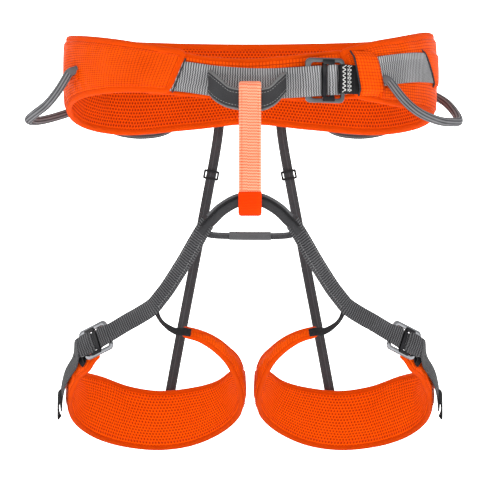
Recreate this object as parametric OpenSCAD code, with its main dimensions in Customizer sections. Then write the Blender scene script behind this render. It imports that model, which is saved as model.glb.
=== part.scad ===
// Sit harness: padded waist belt, two padded leg loops, belay loop, buckles and gear loops.
// Millimetres. Origin at the centre of the waist opening. +X wearer's left, +Y to the back, +Z up.

/* [Waist belt] */
// Half width of the waist opening at the middle of the padding
waist_half_w = 158; // [157:0.5:159]
// Half depth of the waist opening at the middle of the padding
waist_half_d = 110; // [109.5:0.5:110.5]
// Height of the waist webbing
waist_web_h = 25; // [24:0.5:25]

/* [Leg loops] */
// Half width of a leg loop at the middle of the padding
leg_half_w = 75.5; // [74:0.5:75.5]
// Half depth of a leg loop at the middle of the padding
leg_half_d = 80; // [79.5:0.5:80.5]
// Width of the leg webbing
leg_web_w = 15; // [13:0.5:15]

/* [Loops] */
// Width of the belay loop webbing
belay_w = 18; // [16:1:18]
// Diameter of the gear loops
gear_d = 8; // [7:0.5:8]

/* [Hidden] */
leg_c = [82.5, 10];
pin_e = 22.7;
orange = [0.95, 0.27, 0.05];
mesh_orange = [0.85, 0.25, 0.02];
web_grey = [0.5, 0.5, 0.5];
dark = [0.16, 0.16, 0.17];
steel = [0.55, 0.56, 0.58];
salmon = [1, 0.5, 0.35];

// heights of the belt's two edges against the angle from the front (90 right, 180 back)
belt_top = [[29, 20], [51, 33], [90, 41], [133, 42], [160, 43], [180, 43], [200, 43],
  [227, 42], [270, 40], [314, 31], [337, 20]];
belt_low = [[29, -17], [51, -23], [90, -27], [133, -41], [160, -34], [180, -29], [200, -34],
  [227, -41], [270, -23], [314, -12.5], [329, -14.8],
  [337, -15.4]];
tongue_top = [[-32, 17], [-14, 13], [0, 10.7], [17, 15], [36, 19]];
tongue_low = [[-32, -12.4], [-23, -13.2], [-14, -17], [0, -19], [17, -19], [30, -15.6], [36, -15.6]];
// the same for a leg loop, 0 the front and 90 the outside
leg_top_out = [[34, -233], [40, -232], [60, -238], [90, -250], [135, -260], [180, -274], [200, -266],
  [225, -262], [270, -246], [290, -238], [315, -219], [340, -209.5]];
leg_low_out = [[34, -244], [46, -247], [58, -255.5], [67, -266], [75, -273], [90, -286], [110, -301],
  [135, -315], [180, -327], [200, -322],
  [225, -308], [270, -275], [290, -257], [315, -232], [340, -216.5]];
web_mid = [[-32, -0.4], [-22, -1], [-10, -6], [0, -8], [12, -7.5], [22, -5.3], [31, -3],
  [40, 3], [50, 7], [84, 11]];

function unit(v) = v / norm(v);
function oval(c, a, b, off, s, z) = [c[0] + (a + off) * sin(s), c[1] - (b + off) * cos(s), z];
function along(p, i) = unit(p[min(i + 1, len(p) - 1)] - p[max(i - 1, 0)]);

// joins rings of points into one closed solid; cap lists the faces of its first end
module skin(rings, cap = []) {
  n = len(rings);
  m = len(rings[0]);
  walls = [for (i = [0:n - 2], j = [0:m - 1])
    let (a = i * m + j, b = i * m + (j + 1) % m) each [[a, b, b + m], [a, b + m, a + m]]];
  first = len(cap) > 0 ? cap : [[for (j = [0:m - 1]) j]];
  ends = concat([for (f = first) [for (k = [len(f) - 1:-1:0]) f[k]]],
    [for (f = first) [for (j = f) (n - 1) * m + j]]);
  polyhedron([for (r = rings) each r], concat(walls, ends));
}
// an open channel of eight corners, as a band folded over a strap
channel_caps = [[0, 1, 6, 7], [1, 2, 5, 6], [2, 3, 4, 5]];

// upright band that follows an oval between two angles
module band(c, a, b, off0, off1, s0, s1, n, tops, lows, trim) {
  skin([for (i = [0:n])
    let (s = s0 + (s1 - s0) * i / n, t = lookup(s, tops) - trim, l = lookup(s, lows) + trim)
    [oval(c, a, b, off1, s, l), oval(c, a, b, off0, s, l),
      oval(c, a, b, off0, s, t), oval(c, a, b, off1, s, t)]]);
}

// thin strip along the top or bottom edge of such a band
module rim(c, a, b, off0, off1, s0, s1, n, edge, z0, z1) {
  skin([for (i = [0:n])
    let (s = s0 + (s1 - s0) * i / n, z = lookup(s, edge))
    [oval(c, a, b, off1, s, z + z0), oval(c, a, b, off0, s, z + z0),
      oval(c, a, b, off0, s, z + z1), oval(c, a, b, off1, s, z + z1)]]);
}

// keeper band: stands off the oval over a strap and is closed above and below it
module keeper(s0, s1, n, mid, half) {
  shape = [[4, half], [7.6, half], [7.6, -half], [4, -half], [4, 1.4 - half],
    [6.4, 1.4 - half], [6.4, half - 1.4], [4, half - 1.4]];
  skin([for (i = [0:n])
    let (s = s0 + (s1 - s0) * i / n, z = lookup(s, mid))
    [for (q = shape) oval([0, 0], waist_half_w, waist_half_d, q[0], s, z + q[1])]], channel_caps);
}

// webbing on edge: a path in plan with a height for each point
module upright_web(path, mids, h, t) {
  skin([for (i = [0:len(path) - 1])
    let (d = along(path, i), q = [d[1], -d[0]] * t / 2, p = path[i], z = mids[i], k = h / 2)
    [[p[0] + q[0], p[1] + q[1], z - k], [p[0] - q[0], p[1] - q[1], z - k],
      [p[0] - q[0], p[1] - q[1], z + k], [p[0] + q[0], p[1] + q[1], z + k]]]);
}

// webbing along a path in space, faces[i] is the way its outer face looks
module ribbon(path, faces, w, t) {
  skin([for (i = [0:len(path) - 1])
    let (d = along(path, i), s = unit(cross(d, faces[i])), f = cross(s, d), p = path[i])
    [p + s * w / 2 + f * t / 2, p + s * w / 2 - f * t / 2,
      p - s * w / 2 - f * t / 2, p - s * w / 2 + f * t / 2]]);
}

// round or oval cord along a path, ax is a steady side direction
module tube(path, ax, r0, r1, m) {
  skin([for (i = [0:len(path) - 1])
    let (d = along(path, i), s = unit(ax - d * (ax * d)), f = cross(s, d), p = path[i])
    [for (k = [0:m - 1]) p + s * r0 * cos(360 * k / m) - f * r1 * sin(360 * k / m)]]);
}

// hollow cord: the same with a bore, so a core fits inside it
module pipe(path, ax, r_out, r_in, m) {
  rings = [for (i = [0:len(path) - 1])
    let (d = along(path, i), s = unit(ax - d * (ax * d)), f = cross(s, d), p = path[i])
    [for (r = [r_out, r_in], k = [0:m - 1]) p + s * r * cos(360 * k / m) - f * r * sin(360 * k / m)]];
  last = (len(path) - 1) * 2 * m;
  walls = [for (i = [0:len(path) - 2], j = [0:m - 1])
    let (a = i * 2 * m + j, b = i * 2 * m + (j + 1) % m, g = 2 * m)
    each [[a, b, b + g], [a, b + g, a + g], [a + m, b + g + m, b + m], [a + m, a + g + m, b + g + m]]];
  ends = [for (j = [0:m - 1]) let (k = (j + 1) % m)
    each [[j, j + m, k], [k, j + m, k + m], [last + j, last + k, last + j + m],
      [last + k, last + k + m, last + j + m]]];
  polyhedron([for (r = rings) each r], concat(walls, ends));
}

function bend(p, n) = [for (i = [0:len(p) - 2], k = [0:n - 1])
  let (u = k / n, a = p[max(i - 1, 0)], b = p[i], c = p[i + 1], d = p[min(i + 2, len(p) - 1)])
  0.5 * (2 * b + (c - a) * u + (2 * a - 5 * b + 4 * c - d) * u * u
    + (3 * b - a - 3 * c + d) * u * u * u)];
function smooth(p, n) = concat(bend(p, n), [p[len(p) - 1]]);

module box_at(x0, x1, y0, y1, z0, z1) {
  translate([x0, y0, z0]) cube([x1 - x0, y1 - y0, z1 - z0]);
}

// rounded plate standing in the X-Z plane between two depths
module plate(half_x, half_z, r, y0, y1) {
  translate([0, y1, 0])
    rotate([90, 0, 0])
      linear_extrude(y1 - y0) {
        square([2 * half_x - 2 * r, 2 * half_z], center = true);
        square([2 * half_x, 2 * half_z - 2 * r], center = true);
        for (i = [-1, 1], j = [-1, 1])
          translate([i * (half_x - r), j * (half_z - r)])
            circle(r, $fn = 32);
      }
}

// ---- waist belt ----
module belt_shell() {
  color(orange)
    difference() {
      band([0, 0], waist_half_w, waist_half_d, 3, 4, 31, 337, 72, belt_top, belt_low, 1.6);
      // slit where the strap's tail comes out
      translate([(waist_half_w + 3.5) * sin(38.4), -(waist_half_d + 3.5) * cos(38.4), 1.5])
        rotate([0, 0, 29])
          cube([12, 5, 33], center = true);
    }
}
module belt_foam() {
  color(orange)
    band([0, 0], waist_half_w, waist_half_d, -3.6, 1.4, 43, 328, 66, belt_top, belt_low, 3);
}
module belt_load_webbing() {
  color(dark)
    skin([for (i = [0:60]) let (s = 48 + 275 * i / 60, z = (s < 180) ? 4 : 3)
      [for (q = [[2.9, -18], [1.7, -18], [1.7, 18], [2.9, 18]])
        oval([0, 0], waist_half_w, waist_half_d, q[0], s, z + q[1] * (s > 300 || s < 60 ? 0.6 : 1))]]);
}
module belt_mesh_liner() {
  color(mesh_orange)
    band([0, 0], waist_half_w, waist_half_d, -5.2, -4, 31, 337, 72, belt_top, belt_low, 1.6);
}
module belt_binding() {
  color(orange) {
    rim([0, 0], waist_half_w, waist_half_d, -6, 5, 31, 337, 72, belt_top, -1.5, 0.5);
    rim([0, 0], waist_half_w, waist_half_d, -6, 5, 31, 337, 72, belt_low, -0.5, 1.5);
  }
}
module tongue_pad() {
  color(orange)
    band([0, 0], waist_half_w, waist_half_d, -3.7, -0.5, -31, 35.5, 22, tongue_top, tongue_low, 0);
}

buckle_s = 22.4;
buckle_turn = atan2(waist_half_d * sin(buckle_s), waist_half_w * cos(buckle_s));
buckle_c = [waist_half_w * sin(buckle_s), -waist_half_d * cos(buckle_s)];
buckle_z = -5.3;
function belt_at(s, off) = [(waist_half_w + off) * sin(s), -(waist_half_d + off) * cos(s)];
function buckle_at(u, v) = buckle_c
  + [u * cos(buckle_turn) + v * sin(buckle_turn), u * sin(buckle_turn) - v * cos(buckle_turn)];
function plan_angle(p) = atan2(p[0] / waist_half_w, -p[1] / waist_half_d);
web_through = [[-24, 4], [-18.5, 7], [-12, 7.3], [-6.5, 7.1], [-4.6, 6.2], [-3.7, 4.6], [-3.2, 3],
  [-2.3, 1.7], [-0.4, 1.2], [1.4, 1.5], [2.4, 2.8], [2.9, 5.4], [3.4, 6.8], [4.4, 7.5],
  [6.2, 7.7], [8, 7.4], [9.3, 6.4], [9.9, 5], [10.4, 3.2], [11.2, 1.6], [13, 0.6],
  [17, -0.1], [21, -0.8]];
waist_path = concat([for (s = [-31:3:8]) belt_at(s, 0.6)],
  [for (q = web_through) buckle_at(q[0], q[1])],
  [belt_at(32.5, 0.3), belt_at(34.5, 0.3), belt_at(36.3, 0.9), belt_at(37.6, 2.4),
    belt_at(38.9, 4.3), belt_at(40.2, 5.2)], [for (s = [43:3:85]) belt_at(s, 5.2)]);
module waist_strap() {
  color(web_grey)
    upright_web(waist_path, [for (p = waist_path) lookup(plan_angle(p), web_mid)],
      waist_web_h, 1.3);
}
module buckle_anchor_webbing() {
  loop = concat([belt_at(34.4, 2.45), belt_at(33, 2.45), belt_at(31, 2.4)],
    [for (q = [[20.5, 3.6], [18, 6.4], [15.5, 7.2], [13.7, 6.6], [13, 5], [13.2, 3.4], [14.6, 2.7],
      [17.5, 2.1]]) buckle_at(q[0], q[1])],
    [belt_at(31, 1.45), belt_at(33, 1.45), belt_at(34.4, 1.45)]);
  color(dark)
    upright_web(loop, [for (p = loop) buckle_z + 1.5], 24, 0.8);
}
module at_waist_buckle() {
  translate([buckle_c[0], buckle_c[1], buckle_z])
    rotate([0, 0, buckle_turn])
      children();
}
module waist_buckle_frame() {
  color(steel)
    at_waist_buckle() difference() {
      plate(17, 18.5, 4, -6.4, -3.6);
      translate([1, 0, 0]) plate(13, 15, 2, -7, -3);
    }
}
module slider_bars(half, low, high, tab) {
  box_at(-2, 1.2, -high, -low, -half, half);
  box_at(4.5, 8, -high, -low, -half, half);
  for (k = [-1, 1])
    translate([0, 0, k * (half - 0.7)]) {
      box_at(-2, 8, -high - 1, -low, -0.7, 0.7);
      translate([0, 0, k * (tab / 2)]) box_at(-2, 8, -high - 1, -high - 0.2, -tab / 2, tab / 2);
    }
}
module waist_buckle_slider() {
  color(steel)
    at_waist_buckle() slider_bars(14.6, 3.6, 6.4, 3);
}
module tail_keeper_front() {
  color(orange) keeper(32, 41.5, 5, [[30, 1], [45, 4]], 17);
}
module tail_keeper_rear() {
  color(orange) keeper(66, 74, 4, [[60, 8.5], [80, 10.5]], 16);
}

// ---- tie-in loops and belay loop ----
hang_path = smooth([[-33, -110.6], [-31.5, -120], [-24, -129], [-12, -135.4], [0, -136],
  [12, -135.4], [22, -129], [27, -120], [28.5, -112.4]], 2);
hang_high = [[-33, 2.5], [-24, -6], [-12, -13.6], [0, -14], [12, -13.6], [22, -6], [28.5, 1]];
hang_low = [[-33, -17], [-28, -23], [-24, -26], [-12, -31], [0, -31.4], [12, -31], [22, -25], [28.5, -15]];
module hanger(t, grow_top, grow_low, from_top, from_low) {
  skin([for (i = [0:len(hang_path) - 1])
    let (d = along(hang_path, i), q = [d[1], -d[0]] * t / 2, p = hang_path[i],
      hi = from_top ? lookup(p[0], hang_high) + grow_top : lookup(p[0], hang_low) + grow_top,
      lo = from_low ? lookup(p[0], hang_low) + grow_low : lookup(p[0], hang_high) + grow_low)
    [[p[0] + q[0], p[1] + q[1], lo], [p[0] - q[0], p[1] - q[1], lo],
      [p[0] - q[0], p[1] - q[1], hi], [p[0] + q[0], p[1] + q[1], hi]]]);
}
module upper_tie_in_loop() {
  color(dark) hanger(3, -1.35, 1.35, true, true);
}
module upper_tie_in_edging() {
  color(web_grey) {
    hanger(3.4, 0, -1.2, true, false);
    hanger(3.4, 1.2, 0, false, true);
  }
}

belay_ya = -136;
belay_za = -14;
belay_yb = -133.5;
belay_zb = -107.5;
// side outline of the belay loop, grown by g
module belay_side(g) {
  ra = 6.5 + g;
  rb = 9.5 + g;
  dir = atan2(belay_zb - belay_za, belay_yb - belay_ya);
  len = norm([belay_yb - belay_ya, belay_zb - belay_za]);
  lean = acos((ra - rb) / len);
  tips = [for (k = [-1, 1]) [[belay_ya, belay_za] + ra * [cos(dir + k * lean), sin(dir + k * lean)],
    [belay_yb, belay_zb] + rb * [cos(dir + k * lean), sin(dir + k * lean)]]];
  translate([belay_ya, belay_za]) circle(ra, $fn = 40);
  translate([belay_yb, belay_zb]) circle(rb, $fn = 48);
  polygon([tips[0][0], tips[0][1], tips[1][1], tips[1][0]]);
}
module belay_slice(w, g, lo, hi) {
  rotate([90, 0, 90])
    translate([0, 0, -w / 2])
      linear_extrude(w)
        intersection() {
          difference() {
            belay_side(g);
            belay_side(-3.5);
          }
          translate([-170, lo]) square([80, hi - lo]);
        }
}
module belay_loop() {
  color(salmon) belay_slice(belay_w, 0, -98, 0);
}
module belay_loop_sleeve() {
  color(orange) belay_slice(belay_w + 1, 0.3, -125, -98);
}

arch_path = smooth([[-39, -127, -127], [-36.4, -128, -124.6], [-30.2, -129.8, -118.5],
  [-22.9, -131.6, -111.6], [-11, -133.2, -104.8], [0, -133.5, -103.4], [11, -133.2, -104.8],
  [22.9, -131.6, -111.6], [30.2, -129.8, -118.5], [36.4, -128, -124.6], [39, -127, -127]], 2);
module lower_tie_in_loop() {
  color(dark) tube(arch_path, [0, 1, 0], 4, 5.6, 12);
}
module stabiliser_strap() {
  color(dark) {
    box_at(-32.5, -15, -127.5, -126.3, -136.4, -131);
    box_at(15, 32.5, -127.5, -126.3, -136.4, -131);
  }
}
module stabiliser_sleeve() {
  color(dark)
    difference() {
      box_at(-17, 17, -128.6, -125.2, -137, -130.4);
      box_at(-14.9, 14.9, -127.8, -126, -136.4, -131);
      box_at(-18, 18, -127.6, -126.2, -136.5, -130.9);
    }
}

// ---- gear loops ----
// angle, height and half height of each patch
patch_at = [[293, 3.5, 7], [243, -13, 7], [45.2, -14, 4.6], [113, -4, 7], [231, -12, 7], [207.5, -12, 7],
  [129, -12, 7], [152.5, -12, 7]];
module gear_loop_patches() {
  color(dark)
    for (p = patch_at)
      skin([for (i = [0:2]) let (s = p[0] - 3.4 + 3.4 * i)
        [for (q = [[5.2, -1], [4.05, -1], [4.05, 1], [5.2, 1]])
          oval([0, 0], waist_half_w, waist_half_d, q[0], s, p[1] + q[1] * p[2])]]);
}
right_front = smooth([[117.5, -88.5, -5], [128, -88, -20], [141, -80, -30], [159, -56, -35.5],
  [173.5, -30, -35.5], [181, -5, -33], [180, 16, -25], [172.5, 34, -14], [157.5, 47.5, -4]], 2);
left_front = smooth([[-154, -49.5, 5], [-163, -44, -9], [-174, -29, -20], [-187, -8, -27.5],
  [-193.5, 12, -31], [-189, 33, -31], [-176.5, 52, -27], [-158.5, 64, -20], [-147.5, 65.5, -13]], 2);
right_rear = smooth([[134.5, 80, -10], [137, 89, -24], [126, 101, -33.5], [110, 111.5, -37.5],
  [93, 118, -37.5], [78, 121, -34], [66.5, 120.5, -25], [60.5, 112.8, -10]], 2);
function flip(p) = [for (q = p) [-q[0], q[1], q[2]]];
module gear_cover(p) {
  color(web_grey) pipe(p, [0, 0, 1], gear_d / 2, gear_d / 2 - 1, 8);
}
module gear_core(p) {
  color(dark) tube(p, [0, 0, 1], gear_d / 2 - 1, gear_d / 2 - 1, 8);
}

// ---- elastic risers at the back ----
riser_path = [[28, 116.2, -4], [28, 116.2, -24], [31, 115.4, -50], [39.5, 111.5, -97],
  [51, 107, -158], [62, 102.5, -216], [70.5, 98.6, -262], [73, 97.8, -276], [75.5, 97.6, -290]];
riser_face = [for (i = [0:8]) [0, 1, 0]];
module riser(k) {
  color(dark)
    ribbon([for (p = riser_path) [k * p[0], p[1], p[2]]], riser_face, 9, 1.5);
}
module riser_adjuster(k) {
  color(dark)
    translate([k * 35.7, 113.3, -76])
      rotate([-4.7, k * -10.2, 0])
        difference() {
          box_at(-7, 7, -2.4, 2.4, -4.2, 4.2);
          box_at(-5.2, 5.2, -1.3, 1.3, -5, 5);
        }
}
module riser_top_tabs() {
  color(dark)
    for (k = [-1, 1])
      translate([k * 28, 0, 0]) box_at(-7, 7, 117.2, 118.4, -17, -3);
}

// ---- leg loops, drawn for the +X side and mirrored for the other ----
module leg_side(k) {
  mirror([k < 0 ? 1 : 0, 0, 0]) children();
}
module leg_band(off0, off1, s0, s1, n, trim) {
  band(leg_c, leg_half_w, leg_half_d, off0, off1, s0, s1, n, leg_top_out, leg_low_out, trim);
}
module leg_shell() {
  color(orange) leg_band(3, 4, 38, 339, 60, 1.6);
}
module leg_foam() {
  color(orange) leg_band(-3.6, 1.6, 50, 336, 56, 1.8);
}
module leg_load_webbing() {
  color(dark)
    skin([for (i = [0:50]) let (s = 54 + 262 * i / 50,
      t = lookup(s, leg_top_out), l = lookup(s, leg_low_out), h = min((t - l) / 2 - 3.5, 11))
      [for (q = [[2.8, -h], [1.95, -h], [1.95, h], [2.8, h]])
        oval(leg_c, leg_half_w, leg_half_d, q[0], s, (t + l) / 2 + q[1])]]);
}
module leg_mesh_liner() {
  color(mesh_orange) leg_band(-5, -4, 38, 339, 60, 1.6);
}
module leg_binding() {
  color(orange) {
    rim(leg_c, leg_half_w, leg_half_d, -5.4, 4.6, 38, 339, 60, leg_top_out, -1.5, 0.4);
    rim(leg_c, leg_half_w, leg_half_d, -5.4, 4.6, 38, 339, 60, leg_low_out, -0.4, 1.5);
  }
}
leg_s = 34;
leg_buckle = [leg_c[0] + (leg_half_w + 4.5) * sin(leg_s), leg_c[1] - (leg_half_d + 4.5) * cos(leg_s), -221];
leg_turn = 35;
leg_out = [sin(leg_turn), -cos(leg_turn), 0];
leg_run = [cos(leg_turn) * cos(pin_e), sin(leg_turn) * cos(pin_e), -sin(pin_e)];
function leg_at(u, v) = leg_buckle + u * leg_run + v * leg_out;
leg_through = [[-18, 6.2], [-14.5, 6.5], [-8, 6.4], [-4.6, 5.6], [-3.7, 4.2], [-3.1, 2.6],
  [-2.2, 1.4], [-0.4, 1], [1.4, 1.3], [2.4, 2.6], [2.9, 4.6], [3.5, 6], [4.6, 6.8], [8, 7.1],
  [12, 7.6], [17, 7.6], [21, 6]];
leg_path = concat([[41.5, -123.6, -133.5], [46.5, -121, -142], [54, -117, -154.8],
  [66.7, -108.5, -174.6], [74.3, -103, -184.6], [81, -98.5, -192.2], [92, -91, -199.4],
  [102, -84, -205]], [for (q = leg_through) leg_at(q[0], q[1])],
  [[150.5, -39, -241], [158, -23.5, -253], [163, -7, -268], [165, 4, -283]]);
leg_faces = [for (i = [0:len(leg_path) - 1])
  let (u = min(max((i - 2) / 5, 0), 1), v = min(max((i - 24) / 4, 0), 1))
  (1 - u) * [0.25, -0.85, 0.35] + u * (1 - v) * leg_out + v * [0.98, -0.2, 0]];
module leg_strap() {
  color(dark) ribbon(leg_path, leg_faces, leg_web_w, 1.2);
}
module leg_branch_strap() {
  p = [[80, -95.4, -191.4], [76.5, -94.5, -198.5], [71.5, -89.5, -206.5], [65, -82.5, -211.5],
    [58.5, -76.5, -213.2], [52, -73.8, -213.6], [44, -69.8, -217]];
  f = [[0.7, -0.6, -0.1], [0.8, -0.4, -0.3], [0.7, -0.4, -0.5], [0.2, -0.6, -0.8],
    [-0.1, -0.9, -0.3], [-0.35, -0.9, 0], [-0.4, -0.9, 0]];
  color(dark) ribbon(p, f, 6.5, 1);
}
module leg_anchor_webbing() {
  // loop around the buckle's outer rail, both layers sewn on the outside of the shell
  turns = [[19.5, 3, 3], [17.4, 5, 1.2], [16.3, 5.85, 0.5], [14, 6, 0], [12.2, 5.95, 0], [11.6, 5.35, 0],
    [11.6, 3, 0], [12.2, 2.35, 0], [14, 2.3, 0], [16, 2, 0.4], [17.5, 0.8, 1.2]];
  on_shell = function(off, s, z) oval(leg_c, leg_half_w, leg_half_d, off, s, z);
  path = concat([on_shell(6.35, 51, -240), on_shell(6.35, 48.5, -236)],
    [for (q = turns) leg_at(q[0], q[1]) - [0, 0, q[2]]],
    [on_shell(5.5, 48.5, -236), on_shell(5.5, 51, -240)]);
  across = unit(cross(leg_out, leg_run)) * 6;
  color(dark)
    skin([for (i = [0:len(path) - 1])
      let (f = unit(cross(across, along(path, i))) * 0.35, p = path[i])
      [p + across + f, p + across - f, p - across - f, p - across + f]]);
}
module at_leg_buckle() {
  translate(leg_buckle)
    rotate([0, 0, leg_turn])
      rotate([0, pin_e, 0])
        children();
}
module leg_buckle_frame() {
  color(steel)
    at_leg_buckle() difference() {
      plate(16, 12.5, 3.5, -5.3, -3);
      plate(12.3, 9.6, 1.5, -6, -2);
    }
}
module leg_buckle_slider() {
  color(steel)
    at_leg_buckle() slider_bars(9.3, 3, 5.3, 2);
}
module leg_tail_keeper() {
  p = [[164.9, -1.5, -274], [165.7, 4, -281.5], [166.2, 8.5, -288]];
  h = 10;
  shape = [[-1.5, h], [1.6, h], [1.6, -h], [-1.5, -h], [-1.5, 1.1 - h], [0.5, 1.1 - h],
    [0.5, h - 1.1], [-1.5, h - 1.1]];
  color(dark)
    skin([for (i = [0:2]) let (d = along(p, i), s = unit(cross(d, [0.98, -0.15, 0])), f = cross(s, d))
      [for (q = shape) p[i] + s * q[1] + f * q[0]]], channel_caps);
}

belt_shell();
belt_foam();
belt_load_webbing();
belt_mesh_liner();
belt_binding();
tongue_pad();
waist_strap();
buckle_anchor_webbing();
waist_buckle_frame();
waist_buckle_slider();
tail_keeper_front();
tail_keeper_rear();
upper_tie_in_loop();
upper_tie_in_edging();
belay_loop();
belay_loop_sleeve();
lower_tie_in_loop();
stabiliser_strap();
stabiliser_sleeve();
gear_loop_patches();
riser_top_tabs();
gear_cover(left_front);  // left_front_gear_loop
gear_core(left_front);  // left_front_gear_core
gear_cover(right_front);  // right_front_gear_loop
gear_core(right_front);  // right_front_gear_core
gear_cover(flip(right_rear));  // left_rear_gear_loop
gear_core(flip(right_rear));  // left_rear_gear_core
gear_cover(right_rear);  // right_rear_gear_loop
gear_core(right_rear);  // right_rear_gear_core
riser(-1);  // left_riser
riser(1);  // right_riser
riser_adjuster(-1);  // left_riser_adjuster
riser_adjuster(1);  // right_riser_adjuster
leg_side(-1) leg_shell();  // left_leg_shell
leg_side(-1) leg_foam();  // left_leg_foam
leg_side(-1) leg_load_webbing();  // left_leg_load_webbing
leg_side(-1) leg_mesh_liner();  // left_leg_mesh_liner
leg_side(-1) leg_binding();  // left_leg_binding
leg_side(-1) leg_strap();  // left_leg_strap
leg_side(-1) leg_branch_strap();  // left_leg_branch_strap
leg_side(-1) leg_anchor_webbing();  // left_leg_anchor_webbing
leg_side(-1) leg_buckle_frame();  // left_leg_buckle_frame
leg_side(-1) leg_buckle_slider();  // left_leg_buckle_slider
leg_side(-1) leg_tail_keeper();  // left_leg_tail_keeper
leg_side(1) leg_shell();  // right_leg_shell
leg_side(1) leg_foam();  // right_leg_foam
leg_side(1) leg_load_webbing();  // right_leg_load_webbing
leg_side(1) leg_mesh_liner();  // right_leg_mesh_liner
leg_side(1) leg_binding();  // right_leg_binding
leg_side(1) leg_strap();  // right_leg_strap
leg_side(1) leg_branch_strap();  // right_leg_branch_strap
leg_side(1) leg_anchor_webbing();  // right_leg_anchor_webbing
leg_side(1) leg_buckle_frame();  // right_leg_buckle_frame
leg_side(1) leg_buckle_slider();  // right_leg_buckle_slider
leg_side(1) leg_tail_keeper();  // right_leg_tail_keeper
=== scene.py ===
import math
import bpy
import bmesh
import numpy as np
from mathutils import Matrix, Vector
from mathutils.bvhtree import BVHTree


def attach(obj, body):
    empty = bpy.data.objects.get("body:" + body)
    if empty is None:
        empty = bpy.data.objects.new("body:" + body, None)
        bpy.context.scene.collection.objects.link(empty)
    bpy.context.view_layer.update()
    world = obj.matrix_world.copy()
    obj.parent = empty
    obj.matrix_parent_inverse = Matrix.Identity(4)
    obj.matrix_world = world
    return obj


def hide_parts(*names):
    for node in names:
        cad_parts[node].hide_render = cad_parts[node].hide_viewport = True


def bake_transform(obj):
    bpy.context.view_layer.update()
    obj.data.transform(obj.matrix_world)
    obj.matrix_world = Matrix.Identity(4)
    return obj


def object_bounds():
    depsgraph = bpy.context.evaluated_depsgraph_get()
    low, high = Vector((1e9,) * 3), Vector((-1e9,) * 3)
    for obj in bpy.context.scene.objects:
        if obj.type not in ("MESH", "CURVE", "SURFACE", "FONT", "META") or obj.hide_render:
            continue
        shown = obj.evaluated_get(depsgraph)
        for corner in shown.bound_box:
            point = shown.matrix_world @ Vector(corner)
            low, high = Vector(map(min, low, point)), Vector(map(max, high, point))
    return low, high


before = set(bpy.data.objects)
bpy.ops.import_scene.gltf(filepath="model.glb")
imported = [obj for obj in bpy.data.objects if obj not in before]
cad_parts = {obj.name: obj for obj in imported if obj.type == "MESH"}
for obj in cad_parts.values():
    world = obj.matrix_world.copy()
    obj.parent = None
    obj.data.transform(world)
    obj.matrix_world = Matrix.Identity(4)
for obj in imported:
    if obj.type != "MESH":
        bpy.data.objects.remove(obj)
cadBox = [list(v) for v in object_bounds()]
scene = bpy.context.scene
mm = 0.001

# a level camera in front, with a long lens
view = {"distance": 2.0, "height": -0.145, "lens": 165.5}
cameraData = bpy.data.cameras.new("camera")
cameraData.lens = view["lens"]
cameraData.sensor_width = 36
cameraData.clip_end = 50
camera = bpy.data.objects.new("camera", cameraData)
camera.location = (0, -view["distance"], view["height"])
camera.rotation_euler = (math.radians(90), 0, 0)
scene.collection.objects.link(camera)
scene.camera = camera
scene.view_settings.view_transform = "Standard"
print("stage: camera ready")


class Wire:
    # a socket that takes part in sums, each sum adding one Math node
    def __init__(self, shader, socket):
        self.shader = shader
        self.socket = socket

    def math(self, kind, other=None, third=None):
        node = self.shader.tree.nodes.new("ShaderNodeMath")
        node.operation = kind
        for slot, value in zip(node.inputs, (self, other, third)):
            if value is not None:
                self.shader.feed(slot, value)
        return Wire(self.shader, node.outputs[0])

    def __add__(self, other):
        return self.math("ADD", other)

    __radd__ = __add__

    def __mul__(self, other):
        return self.math("MULTIPLY", other)

    __rmul__ = __mul__

    def __sub__(self, other):
        return self.math("SUBTRACT", other)

    def __rsub__(self, other):
        return (self * -1) + other

    def __truediv__(self, other):
        return self.math("DIVIDE", other)

    def __pow__(self, other):
        return self.math("POWER", other)

    def wave(self, pitch):
        # 0 to 1 and back over each pitch
        return (self * (2 * math.pi / pitch)).math("SINE") * 0.5 + 0.5

    def repeat(self, pitch):
        # runs from minus half a pitch to half a pitch, over and over
        return ((self / pitch).math("FRACT") - 0.5) * pitch

    def size(self):
        return self.math("ABSOLUTE")

    def least(self, other):
        return self.math("MINIMUM", other)

    def most(self, other):
        return self.math("MAXIMUM", other)

    def ramp(self, low, high):
        return self.shader.node("ShaderNodeMapRange", {"interpolation_type": "SMOOTHSTEP"},
                                {"Value": self, "From Min": low, "From Max": high})


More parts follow.
